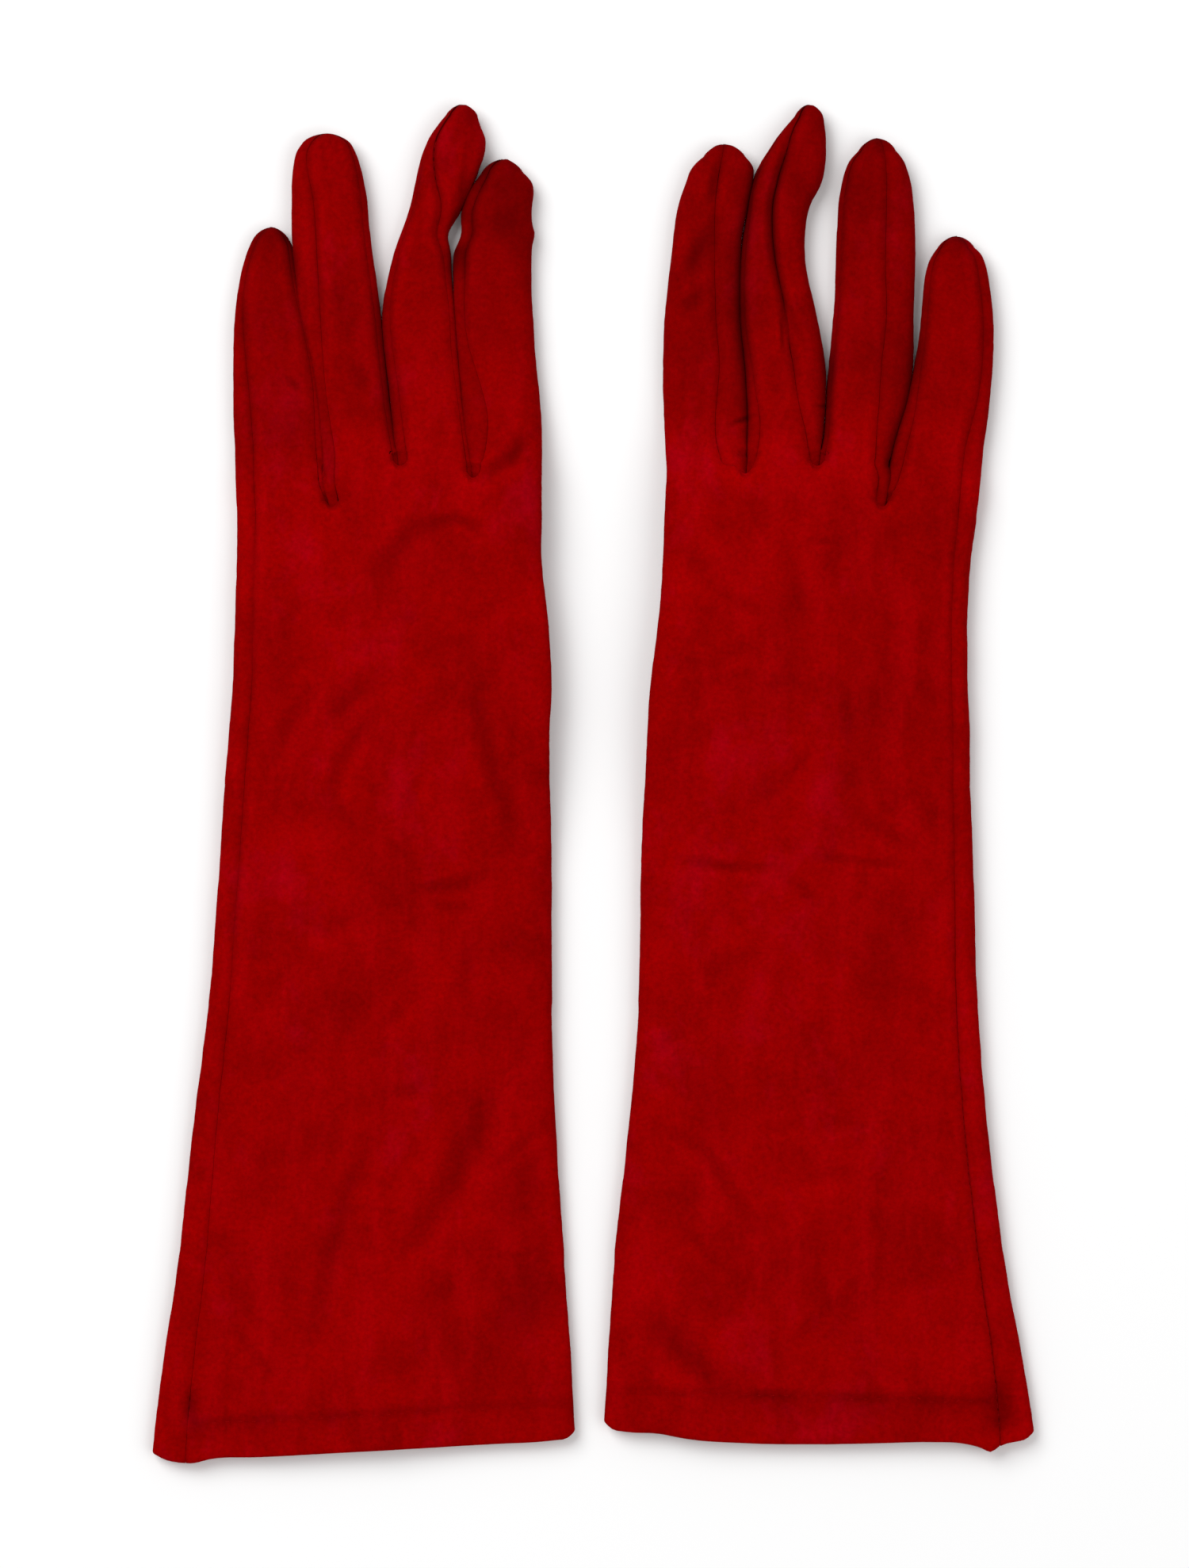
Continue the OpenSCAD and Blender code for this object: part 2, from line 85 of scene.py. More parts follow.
# how high the backs lie along the glove: (Y, height)
CROWN = [(-172, 4.6), (-120, 5.8), (-60, 6.8), (0, 7.6), (30, 8.4), (60, 8.0), (80, 7.4)]
FINGER_TOP = 6.8                        # height of the fingers' backs
TIP_ROUND = 2.8                         # length over which a fingertip closes
TIP_ANGLES = (12, 24, 36, 48, 59, 69, 78, 86)   # degrees, the cross-sections over that length
MEET = 7.0                              # length over which a finger's panel comes to meet the hand

CURL = 0.09                             # radius of a seam's turned-in edge
SEAM_DEEP = 0.4                         # depth of the turned-in allowance
SEAM_DIP = 0.5                          # how far the suede sinks towards a seam
SEAM_REACH = 1.25                       # and how far from the seam it starts to
SOFT_SEAM = 0.65                        # depth of a plain seam against a deep one
STRIP_WIDE = 8.5                        # width of the strips between the fingers
STRIP_TUCK = 1.9                        # how far a strip starts under the end of its slit
THREAD_DEEP = 0.42                      # depth of the stitches in a seam

OUTER_DROP = (4, 6)                     # how much lower the little and index fingers' outer sides start
NOTCH = [(0.9, 2.4), (1.4, 2.2), (1.3, 1.9)]    # reach of the slits' ends to each side of their middle
NOTCH_ROUND = 1.3                       # how far the end of a slit is rounded

FOLD = 0.8                              # radius of the hem's fold
HEM_TURN = 11.0                         # depth of the turned-in hem
HEM_GROOVE = 1.1                        # reach of the groove along its stitches
SIDE_COLUMNS = -0.6                     # share of the half width where the mesh turns to the side seam
WRINKLES = 26                           # faint short creases on each glove
GROOVE_DARK, RIDGE_LIGHT = 0.66, 0.18   # painted shade in a crease and painted highlight on the ridge beside it
TURNED_DARK = 0.2                       # painted shade on suede that faces sideways
LOW_Z = 1.5                             # below this height the suede gets none of the painted shade and highlight of creases, patches and sides

THUMB_TOP = 4.4                         # height of the flattened thumb
THUMB_LEAN = 8.0                        # degrees, across the palm
THUMB_CAP = 1.6                         # length over which its ends close
GUSSET_RADIUS = 7.0                     # of the collar between thumb and palm
PALM_LIFT = 5.2                         # of the palm over the thumb
LIFT_RISES, LIFT_FALLS = (-24, 17), (66, 104)   # Y over which it rises from the wrist and ends
LIFT_SIDE = (-0.6, 0.05)                # and the shares of the half width over which it rises
BACK_LIFT = 0.65                        # share of it by which the back rises too

WRIST_BEND = (-22.0, 10.0)              # Y from the joint to the start and end of what bends
KNUCKLE_BEND = (-1.0, 13.0)


# ---------------------------------------------------------------- curves

def ease(a, b, x):
    t = np.clip((np.asarray(x, float) - a) / (b - a), 0, 1)
    return t * t * (3 - 2 * t)


def lerp(a, b, t):
    return a + (b - a) * t


def bell(x, width):
    """1 at 0, and close to 0 from twice the width on."""
    return np.exp(-((x / width) ** 2))


def superellipse(angles, power):
    """Shares of the half width and height at angles clockwise from the left end of a rounded section."""
    c, s = np.cos(angles), np.sin(angles)
    return -np.sign(c) * abs(c) ** (2 / power), abs(s) ** (2 / power)


def closer_to_end(v):
    """Places from 0 to 1 that crowd together towards 1."""
    last = 0.2
    return np.where(v > 1 - last, 1 - last + last * np.sin((v - 1 + last) / last * np.pi / 2), v)


def table(pairs, x):
    """A value read from a short table of (place, value), with soft corners."""
    knots, values = np.array(sorted(pairs), float).T
    return smooth_curve(knots, values, x)


def smooth_curve(knots, values, x):
    """Cubic curve through the knots, level beyond its ends."""
    slopes = np.gradient(values, knots) if len(knots) > 1 else np.zeros(1)
    x = np.clip(np.asarray(x, float), knots[0], knots[-1])
    i = np.clip(np.searchsorted(knots, x, side="right") - 1, 0, len(knots) - 2)
    step = knots[i + 1] - knots[i]
    t = (x - knots[i]) / step
    return (
        values[i] * (1 + 2 * t) * (1 - t) ** 2
        + slopes[i] * step * t * (1 - t) ** 2
        + values[i + 1] * t * t * (3 - 2 * t)
        + slopes[i + 1] * step * t * t * (t - 1)
    )


def noise(x, y, seed):
    """Smooth noise from -1 to 1, one bump per unit."""
    grid = np.random.default_rng(seed).random((64, 64))
    xi, yi = np.floor(x).astype(int), np.floor(y).astype(int)
    fx, fy = x - xi, y - yi
    fx, fy = fx * fx * (3 - 2 * fx), fy * fy * (3 - 2 * fy)
    a, b = grid[xi % 64, yi % 64], grid[(xi + 1) % 64, yi % 64]
    c, d = grid[xi % 64, (yi + 1) % 64], grid[(xi + 1) % 64, (yi + 1) % 64]
    return 2 * lerp(lerp(a, b, fx), lerp(c, d, fx), fy) - 1


def turned(x, y, degrees):
    a = math.radians(degrees)
    return x * math.cos(a) + y * math.sin(a), y * math.cos(a) - x * math.sin(a)


def away_from(path, x, y):
    """(distance to a path of points, place along it from 0 to 1)."""
    path = np.array(path, float)
    lengths = np.hypot(*np.diff(path, axis=0).T)
    total, run = lengths.sum(), 0.0
    best = np.full(np.shape(x), 1e9)
    place = np.zeros(np.shape(x))
    for (ax, ay), (bx, by), length in zip(path, path[1:], lengths):
        t = np.clip(((x - ax) * (bx - ax) + (y - ay) * (by - ay)) / length**2, 0, 1)
        d = np.hypot(x - ax - t * (bx - ax), y - ay - t * (by - ay))
        near = d < best
        best = np.where(near, d, best)
        place = np.where(near, (run + t * length) / total, place)
        run += length
    return best, place


def crease_depth(path, width, x, y):
    """(1 in a crease and 0 away from it, the same for the small ridge beside it)."""
    path = np.array(path, float)
    low, high = path.min(0) - 4 * width, path.max(0) + 4 * width
    near = (x > low[0]) & (x < high[0]) & (y > low[1]) & (y < high[1])
    groove, ridge = np.zeros(np.shape(x)), np.zeros(np.shape(x))
    if near.any():
        away, place = away_from(path, x[near], y[near])
        taper = np.sqrt(np.clip(np.sin(np.pi * np.clip(place, 0.02, 0.98)), 0, 1))
        groove[near] = taper * bell(away, width)
        ridge[near] = taper * bell(away - 2.2 * width, width)
    return groove, ridge


# ---------------------------------------------------------------- the frame

def node_points(node, flip):
    """A CAD node's corners in mm, mirrored for the right glove."""
    mesh = frame["nodes"][node].data
    co = np.empty(len(mesh.vertices) * 3)
    mesh.vertices.foreach_get("co", co)
    return co.reshape(-1, 3) / MM * (flip, 1, 1)


def joint(name):
    return next(j for j in frame["joints"] if j["name"] == name)


def joint_place(name, flip):
    return np.array(joint(name)["pos_m"], float) / MM * (flip, 1, 1)


def row_edges(points):
    """Rows of (y, lowest x, highest x), one for each y whose corners are more than 1 mm apart."""
    rows = []
    for y in np.unique(np.round(points[:, 1], 2)):
        x = points[abs(points[:, 1] - y) < 0.006, 0]
        if x.max() - x.min() > 1:
            rows.append((y, x.min(), x.max()))
    return np.array(rows)


class Edges:
    """The two long edges of a panel in plan."""

    def __init__(self, left, right):
        self.left_rows, self.right_rows = self.ordered(left), self.ordered(right)

    @staticmethod
    def ordered(chain):
        """Points of (y, x) by y, without the ones too close to the last."""
        chain = np.array(sorted(map(tuple, chain)))
        keep = np.append(True, np.diff(chain[:, 0]) > 0.3)
        return chain[keep].T

    def left(self, y):
        return smooth_curve(*self.left_rows, y) - self.wobble(y, 51)

    def right(self, y):
        return smooth_curve(*self.right_rows, y) + self.wobble(y, 61)

    @staticmethod
    def wobble(y, seed):
        """A cut and folded edge of suede is never quite even."""
        y = np.asarray(y, float) + 400
        even = np.zeros(y.shape)
        return 0.1 * noise(y / 6.3, even, seed) + 0.05 * noise(y / 1.7, even, seed + 1)

    def middle(self, y):
        return (self.left(y) + self.right(y)) / 2

    def half(self, y):
        return (self.right(y) - self.left(y)) / 2


# ---------------------------------------------------------------- mesh

def grid_normals(grid):
    """Outward normals of a grid of points with rows along +Y and columns clockwise seen from the wrist."""
    along = np.gradient(grid, axis=0)
    across = np.gradient(grid, axis=1)
    n = np.cross(across, along)
    return n / np.maximum(np.linalg.norm(n, axis=2, keepdims=True), 1e-9)


def shell_mesh(name, outer, normals, flip, thick=SUEDE, shade=None):
    """A closed sheet: an outer grid, an inner one offset along the normals, and the rim between them."""
    rows, cols = outer.shape[:2]
    extent = np.linalg.norm(np.ptp(outer, axis=1), axis=1)
    inner = outer - normals * np.minimum(thick, 0.25 * extent)[:, None, None]
    verts = np.concatenate([outer.reshape(-1, 3), inner.reshape(-1, 3)]) * (flip, 1, 1)
    ids = np.arange(rows * cols).reshape(rows, cols)
    a, b, c, d = ids[:-1, :-1], ids[:-1, 1:], ids[1:, 1:], ids[1:, :-1]
    top = np.stack([a, b, c, d], -1).reshape(-1, 4)
    under = top[:, ::-1] + rows * cols
    rim = np.concatenate([ids[0, :], ids[1:, -1], ids[-1, -2::-1], ids[-2:0:-1, 0]])
    nxt = np.roll(rim, -1)
    side = np.stack([rim, rim + rows * cols, nxt + rows * cols, nxt], -1)
    faces = np.concatenate([top, under, side])
    if flip < 0:
        faces = faces[:, ::-1]
    piece = new_piece(name, verts, faces.tolist())
    mark_rims(piece.data, rim, rows * cols)
    if shade is None:
        shade = np.zeros((rows, cols))
    add_attribute(piece.data, "shade", "FLOAT", "value", np.concatenate([shade.ravel(), shade.ravel()]))
    return piece


def new_piece(name, verts, faces):
    """A smooth object of vertices in mm that keeps its resting place for its material."""
    mesh = bpy.data.meshes.new(name)
    mesh.from_pydata((verts * MM).tolist(), [], faces)
    mesh.update()
    mesh.polygons.foreach_set("use_smooth", np.ones(len(mesh.polygons), bool))
    add_attribute(mesh, "rest", "FLOAT_VECTOR", "vector", verts * MM)
    piece = bpy.data.objects.new(name, mesh)
    bpy.context.scene.collection.objects.link(piece)
    return piece


def mark_rims(mesh, rim, offset):
    """The edges round a cut are sharp, so that the sheet's face stays evenly shaded up to them."""
    on_rim = np.zeros(len(mesh.vertices), bool)
    on_rim[rim] = True
    on_rim[rim + offset] = True
    ends = np.empty(len(mesh.edges) * 2, int)
    mesh.edges.foreach_get("vertices", ends)
    ends = ends.reshape(-1, 2)
    sharp = on_rim[ends].all(1) & ((ends < offset).all(1) | (ends >= offset).all(1))
    attribute = mesh.attributes.new("sharp_edge", "BOOLEAN", "EDGE")
    attribute.data.foreach_set("value", sharp)


def add_attribute(mesh, name, kind, field, values):
    """Stores one value or vector at each vertex, for the material to read."""
    attribute = mesh.attributes.new(name, kind, "POINT")
    attribute.data.foreach_set(field, np.asarray(values, np.float32).ravel())


def stitch_mesh(name, lines, flip, long=1.9, step=2.4, thick=0.34):
    """A row of short thread stitches along each line of points."""
    sides, rings = 6, 5
    verts, faces = [], []
    turn = np.linspace(0, 2 * np.pi, sides, endpoint=False)
    for line in lines:
        at = np.append(0, np.cumsum(np.linalg.norm(np.diff(line, axis=0), axis=1)))
        for middle in np.arange(step, at[-1] - step, step):
            s = middle + np.linspace(-0.5, 0.5, rings) * long
            centre = np.stack([np.interp(s, at, line[:, k]) for k in range(3)], -1)
            along = centre[-1] - centre[0]
            along = along / np.linalg.norm(along)
            across = np.cross(along, (0, 0, 1))
            across = across / np.linalg.norm(across)
            up = np.cross(across, along)
            radius = thick / 2 * np.sqrt(1 - (np.linspace(-0.96, 0.96, rings)) ** 4)
            first = len(verts)
            for c, r in zip(centre, radius):
                verts.extend(c + r * (across * math.cos(a) + up * math.sin(a)) for a in turn)
            for k in range(rings - 1):
                for j in range(sides):
                    a, b = first + k * sides + j, first + k * sides + (j + 1) % sides
                    faces.append((a, b, b + sides, a + sides))
            faces.append(tuple(first + j for j in range(sides))[::-1])
            faces.append(tuple(first + (rings - 1) * sides + j for j in range(sides)))
    verts = np.array(verts) * (flip, 1, 1)
    if flip > 0:
        faces = [face[::-1] for face in faces]
    return new_piece(name, verts, faces)


class Loop:
    """A closed cross-section that can be read by its length."""

    def __init__(self, points):
        closed = np.vstack([points, points[:1]])
        steps = np.linalg.norm(np.diff(closed, axis=0), axis=1)
        self.at = np.append(0, np.cumsum(steps))
        self.length = self.at[-1]
        self.points = closed

    def point(self, s):
        s = np.mod(s, self.length)
        return np.stack([np.interp(s, self.at, self.points[:, k]) for k in range(3)], -1)

    def place(self, index):
        """Length up to a fractional index of the loop's own points."""
        return np.interp(index, np.arange(len(self.at)), self.at)


def strip_of(loops, starts, ends, parts):
    """A grid of points from one length to another on each loop; parts runs from 0 to 1 across it."""
    return np.array([loop.point(a + parts * (b - a)) for loop, a, b in zip(loops, starts, ends)])


def sink_edges(grid, left, right):
    """Lets a grid's two long edges sink towards their seams, as much as left and right say row by row.

    Gives the grid and its shade: above 0 for painted shade along the seams, below 0 for painted highlight
    on the swell beside them.
    """
    normals = grid_normals(grid)
    steps = np.linalg.norm(np.diff(grid, axis=1), axis=2)
    run = np.concatenate([np.zeros((len(grid), 1)), np.cumsum(steps, axis=1)], axis=1)
    width = run[:, -1:]
    full = np.clip(width / 7, 0, 1)
    shade = np.zeros(run.shape)
    for away, amount in ((run, left), (width - run, right)):
        amount = np.broadcast_to(amount, len(grid))[:, None]
        dip = SEAM_DIP * bell(away, SEAM_REACH)
        swell = 0.16 * bell(away - 2.3, 1.2)
        grid = grid - normals * ((dip - swell) * amount * full)[..., None]
        # painted shade in the seam's groove, and painted highlight on the swell beside it
        dark = 0.14 * np.exp(-away / 0.5) + 0.13 * np.exp(-away / 2.0)
        light = 0.09 * bell(away - 2.4, 1.1) * full
        shade = shade + amount * dark - np.minimum(amount, 1) * light
    return grid, shade


def turn_edges(grid, shade):
    """Adds the turned-in allowance along the two long edges."""
    normals = grid_normals(grid)
    width = np.linalg.norm(grid[:, 1:] - grid[:, :-1], axis=2).sum(1)[:, None]
    radius = np.minimum(CURL, width / 8)
    deep = np.minimum(SEAM_DEEP, width / 5)
    sides = []
    for end, inner in ((0, 1), (-1, -2)):
        tangent = grid[:, end] - grid[:, inner]
        tangent = tangent / np.maximum(np.linalg.norm(tangent, axis=1, keepdims=True), 1e-9)
        n = normals[:, end]
        edge = grid[:, end] - tangent * radius
        bend = [edge + tangent * radius * math.sin(a) - n * radius * (1 - math.cos(a))
                for a in np.radians([0, 35, 65, 90])]
        bend.append(bend[-1] - n * deep)
        sides.append(bend)
    grid = np.concatenate([
        np.stack(sides[0][::-1], 1), grid[:, 1:-1], np.stack(sides[1], 1)], 1)
    # painted shade, deepened over the turned-in edges
    dark = np.array([1.5, 1.4, 1.25, 1.1])
    shade = np.concatenate([dark * shade[:, :1], shade, dark[::-1] * shade[:, -1:]], 1)
    return grid, np.clip(shade, -0.3, 1)


# ---------------------------------------------------------------- a glove

FINGERS = ("little", "ring", "middle", "index")


class Glove:
    """One glove, worked out as a left one: the little finger is towards -X. flip mirrors it."""

    def __init__(self, side, spec):
        self.side, self.spec = side, spec
        self.flip = -1 if side == "right" else 1
        self.read_frame()
        self.notches()

    def node(self, name):
        return f"{self.side}_{name}"

    # ---- plan

    def read_frame(self):
        """The outline, the hem and the joints from the CAD nodes."""
        arm = node_points(self.node("gauntlet_palm"), self.flip)
        middle = (arm[:, 0].min() + arm[:, 0].max()) / 2
        low = arm[arm[:, 2] < 0.1]
        arm_left = low[low[:, 0] < middle][:, [1, 0]]
        arm_right = low[low[:, 0] > middle][:, [1, 0]]
        hand = node_points(self.node("hand_palm"), self.flip)
        hand = row_edges(hand[hand[:, 1] < HAND_ROWS_END])
        self.finger_rows = {f: row_edges(node_points(self.node(f + "_front"), self.flip)) for f in FINGERS}
        little, index = self.finger_rows["little"], self.finger_rows["index"]
        self.outline = Edges(
            np.vstack([arm_left, hand[:, :2], little[1:, :2]]),
            np.vstack([arm_right, hand[:, [0, 2]], index[1:, [0, 2]]]),
        )
        self.hem_left, self.hem_right = arm_left[:, 0].min(), arm_right[:, 0].min()
        stitches = node_points(self.node("hem_stitching"), self.flip)
        self.hem_fit = np.polyfit(stitches[:, 0], stitches[:, 1], 1)
        self.wrist_y = joint_place(self.node("wrist"), self.flip)[1]
        self.knuckle = {f: joint_place(self.node(f"{f}_knuckle"), self.flip)[1] for f in FINGERS}
        self.tip = {f: self.finger_rows[f][-1, 0] for f in FINGERS}

    def notches(self):
        """The three points between the fingers, and each finger's edges down to them."""
        self.crotch = []
        for a, b in zip(FINGERS, FINGERS[1:]):
            y = min(self.knuckle[a], self.knuckle[b])
            xs = []
            if self.knuckle[a] == y:
                xs.append(self.finger_rows[a][0, 2] + CAD_GAP / 2)
            if self.knuckle[b] == y:
                xs.append(self.finger_rows[b][0, 1] - CAD_GAP / 2)
            self.crotch.append((sum(xs) / len(xs), y))
        outer = [self.crotch[0][1] - OUTER_DROP[0], self.crotch[2][1] - OUTER_DROP[1]]
        ends = [(self.outline.left(outer[0]), outer[0])] + self.crotch + [
            (self.outline.right(outer[1]), outer[1])]
        self.base = {f: (ends[i], ends[i + 1]) for i, f in enumerate(FINGERS)}
        self.notch_u = []
        rows = [(-1, ends[0][1])]
        for (x, y), (to_little, to_index) in zip(self.crotch, NOTCH):
            a, b = self.share(x - to_little, y), self.share(x + to_index, y)
            self.notch_u.append((a, b))
            for k in np.linspace(-1, 1, 9):
                rows.append((lerp(a, b, (k + 1) / 2), y + NOTCH_ROUND * k * k))
        rows.append((1, ends[-1][1]))
        self.front_u, self.front_y = np.array(rows).T
        self.edges = {}
        for i, f in enumerate(FINGERS):
            rows = self.finger_rows[f]
            out = [0.0 if i == 0 else FINGER_GAP, 0.0 if i == 3 else FINGER_GAP]
            (ax, ay), (bx, by) = self.base[f]
            low_left, low_right, own = ay + ROW_CLEAR, by + ROW_CLEAR, rows[0, 0] - 1
            left = [(ay, ax)] + [(y, x - out[0]) for y, x, _ in rows if y > low_left]
            right = [(by, bx)] + [(y, x + out[1]) for y, _, x in rows if y > low_right]
            # below its own first row a finger follows its neighbour
            if i > 0:
                beside = self.finger_rows[FINGERS[i - 1]]
                left += [(y, x + CAD_GAP - out[0]) for y, _, x in beside if low_left < y < own]
            if i < 3:
                beside = self.finger_rows[FINGERS[i + 1]]
                right += [(y, x - CAD_GAP + out[1]) for y, x, _ in beside if low_right < y < own]
            self.edges[f] = Edges(left, right)

    def share(self, x, y):
        return float((x - self.outline.middle(y)) / self.outline.half(y))

    # ---- heights of the gauntlet and hand

    def crown(self, y):
        return table(CROWN, y)

    def lift(self, u, y):
        """How far the palm is raised over the thumb."""
        return PALM_LIFT * ease(*LIFT_RISES, y) * (1 - ease(*LIFT_FALLS, y)) * ease(*LIFT_SIDE, u)

    def edge_z(self, u, y):
        return EDGE_Z + self.lift(u, y)

    @staticmethod
    def fullness(u):
        """Share of the section's height at a share of its half width."""
        return (1 - np.clip(abs(u), 0, 1) ** SECTION_POWER) ** (1 / SECTION_POWER)

    def hand_top(self, u, y):
        edge = self.edge_z(u, y)
        return edge + (self.crown(y) + BACK_LIFT * self.lift(u, y) - edge) * self.fullness(u)

    def hand_under(self, u, y):
        edge = self.edge_z(u, y)
        return edge - (edge - self.lift(u, y)) * self.fullness(u)

    def share_of(self, x, y):
        return np.clip((x - self.outline.middle(y)) / self.outline.half(y), -1, 1)

    def notch_depth(self, u, y):
        """1 in the end of a slit between two fingers, 0 away from it."""
        deep = np.zeros(np.shape(u))
        half = self.outline.half(np.asarray(y))
        for a, b in self.notch_u:
            inside = np.minimum(u - a, b - u) * half
            deep = np.maximum(deep, ease(-1.6, 0.9, inside))
        return deep

    # ---- the surface's folds

    def gather_creases(self):
        """The larger creases as listed, and a scatter of faint short ones."""
        self.creases = [
            ([(px * self.flip, py) for px, py in path], width, depth)
            for path, width, depth in self.spec["creases"]]
        draw = np.random.default_rng(self.spec["scatter"])
        for _ in range(WRINKLES):
            y = draw.uniform(-150, 62)
            x = self.outline.middle(y) + draw.uniform(-0.75, 0.85) * self.outline.half(y)
            way = math.radians(draw.normal(8, 28))
            half = draw.uniform(3, 9)
            bend = draw.normal(0, 1.2)
            dx, dy = half * math.cos(way), half * math.sin(way)
            path = [(x - dx, y - dy), (x, y + bend), (x + dx, y + dy)]
            self.creases.append((path, draw.uniform(0.6, 2.0), draw.uniform(0.1, 0.32)))

    def relief(self, x, y):
        """Soft folds and creases of the suede that face up, in mm."""
        d = np.zeros(np.shape(x))
        for size, amount, stretch, angle, seed in self.spec["folds"]:
            a, b = turned(x, y, angle)
            d = d + amount * noise(a / size + 31.7, b / (size * stretch) + 17.3, seed)
        deepest, highest = np.zeros(np.shape(x)), np.zeros(np.shape(x))
        for path, width, depth in self.creases:
            groove, ridge = crease_depth(path, width, x, y)
            deepest = np.maximum(deepest, depth * groove)
            highest = np.maximum(highest, depth * ridge)
        d = d + 0.6 * highest - 1.5 * deepest
        below = self.hem_line(x) - y
        return d - 0.55 * self.on_back(x, y, 2.5) * bell(below, HEM_GROOVE) + 0.2 * ease(0.5, 3, below)

    def on_back(self, x, y, reach):
        """1 on the back, and 0 past the side seam, where the hem's stitches stop."""
        return ease(0, reach, (self.share_of(x, y) - self.seam_u(y)) * self.outline.half(y))

    def hem_line(self, x):
        """The stitched line across the hem."""
        return np.polyval(self.hem_fit, x)

    # ---- the trank: gauntlet and hand in one folded piece

    def seam_u(self, y):
        return table(self.spec["side_seam"], y)

    def hem_y(self, u):
        straight = lerp(self.hem_left, self.hem_right, (u + 1) / 2)
        return straight + table(self.spec["hem"], u) + FOLD

    def front(self, u):
        return np.interp(u, self.front_u, self.front_y)

    def trank_columns(self):
        """Angles round the section: evenly spaced by length, and split at the notches."""
        theta = np.linspace(0, 2 * np.pi, 4001)
        u, t = superellipse(theta, SECTION_POWER)
        z = np.where(theta <= np.pi, EDGE_Z + (TOP_Z - EDGE_Z) * t, EDGE_Z * (1 - t))
        length = np.append(0, np.cumsum(np.hypot(np.diff(u * HAND_HALF), np.diff(z))))
        seam = self.theta_of(self.seam_u(self.front_y[0]))
        notches = [self.theta_of(u) for pair in self.notch_u for u in pair]
        cuts = [seam] + notches + [2 * np.pi - t for t in notches[::-1]] + [2 * np.pi + seam]
        at = np.interp(np.mod(cuts, 2 * np.pi), theta, length)
        at[-1] += length[-1]
        columns, spans = [], []
        for k, (a, b) in enumerate(zip(at, at[1:])):
            n = max(10 if k % 2 else 2, int(round((b - a) / GRID)))
            part = np.linspace(a, b, n + 1)
            spans.append((len(columns), len(columns) + n))
            columns.extend(part[:-1])
        columns.append(at[-1])
        columns = np.array(columns)
        angles = np.interp(np.mod(columns, length[-1]), length, theta)
        angles = np.where(columns > length[-1], angles + 2 * np.pi, angles)
        panels = ("little_back", "ring_back", "middle_back", "index", "middle_front", "ring_front",
                  "little_front")
        self.spans = dict(zip(panels, spans[::2]))
        return angles

    @staticmethod
    def theta_of(u):
        """The angle at which the top of the section has that share."""
        return float(np.arccos(-np.sign(u) * abs(u) ** (SECTION_POWER / 2)))

    def trank_points(self, angles, level):
        """Points of the section at levels from 0, the hem, to 1, the finger bases."""
        u, _ = superellipse(angles, SECTION_POWER)
        top = np.sin(angles) >= 0
        level, u = np.broadcast_arrays(level[:, None], u[None, :])
        seam0 = self.seam_u(self.front_y[0])
        hem, front = self.hem_y(u), self.front(u)
        y = lerp(float(np.mean(self.hem_y(np.linspace(-1, 1, 21)))), float(np.mean(self.front_y)), level)
        pull = 1 - ease(0, 60, y - y.min())
        push = ease(-42, 0, y - y.max())
        y = y + pull * (hem - y.min()) + push * (front - y.max())
        seam = self.seam_u(y)
        # the columns near the side seam follow it
        first = SIDE_COLUMNS
        blend = np.where(u < first, (first - u) / (first - seam0), 0)
        u = np.where((u < first) & (u >= seam0), first - blend * (first - seam), u)
        past = (u < seam0) & top[None, :]
        u = np.where(past, -1 + (u + 1) * (1 + seam) / (1 + seam0), u)
        x = self.outline.middle(y) + self.outline.half(y) * u
        high, low = self.hand_top(u, y), self.hand_under(u, y)
        deep = self.notch_depth(u, y)
        roll = 0.42 * (1 - ease(0, 1.5, front - y)) + 0.08 * (1 - ease(0, 6, front - y))
        notch = 1 - deep * roll
        edge = self.edge_z(u, y)
        up = edge + (high - edge) * notch
        down = edge - (edge - low) * notch
        t = self.fullness(u)
        up = up + self.relief(x, y) * t
        down = down + 0.4 * bell(y - self.hem_line(x), HEM_GROOVE) * t
        z = np.where(top[None, :], up, down)
        return np.stack([x, y, z], -1)

    def build_trank(self):
        angles = self.trank_columns()
        length = np.mean(self.front_y) - (self.hem_left + self.hem_right) / 2
        n = int(length / GRID)
        near = 1 - FRONT_REACH / length
        level = np.concatenate([np.linspace(0, near, n), np.linspace(near, 1, FRONT_ROWS + 1)[1:]])
        grid = self.trank_points(angles, level)
        strength = table(self.spec["side_seam_depth"], grid[:, 0, 1])
        grid, shade = sink_edges(grid, strength, strength)
        lap = table(self.spec["lap"], grid[:, 0, 1])[:, None]
        for columns, sign in ((slice(0, 6), 1), (slice(-6, None), -1)):
            part = grid[:, columns]
            close = np.abs(part[..., 0] - grid[:, [0], 0])
            part[..., 2] += sign * lap * bell(close, 2.2)
        turned_away = np.clip(1 - grid_normals(grid)[..., 2], 0, 1)
        # painted shade on the creases and patches, and on suede that faces sideways
        shade = shade + self.crease_shade(grid) + TURNED_DARK * turned_away * (grid[..., 2] > LOW_Z)
        self.side_line = grid[:, 0].copy()
        self.trank_grid = grid
        hem = self.hem_rows(grid, grid_normals(grid))
        full = np.concatenate([hem, grid])
        shade = np.concatenate([np.repeat(shade[:1], len(hem), 0), shade])
        full, shade = turn_edges(full, shade)
        return shell_mesh(self.node("trank"), full, grid_normals(full), self.flip, shade=shade)

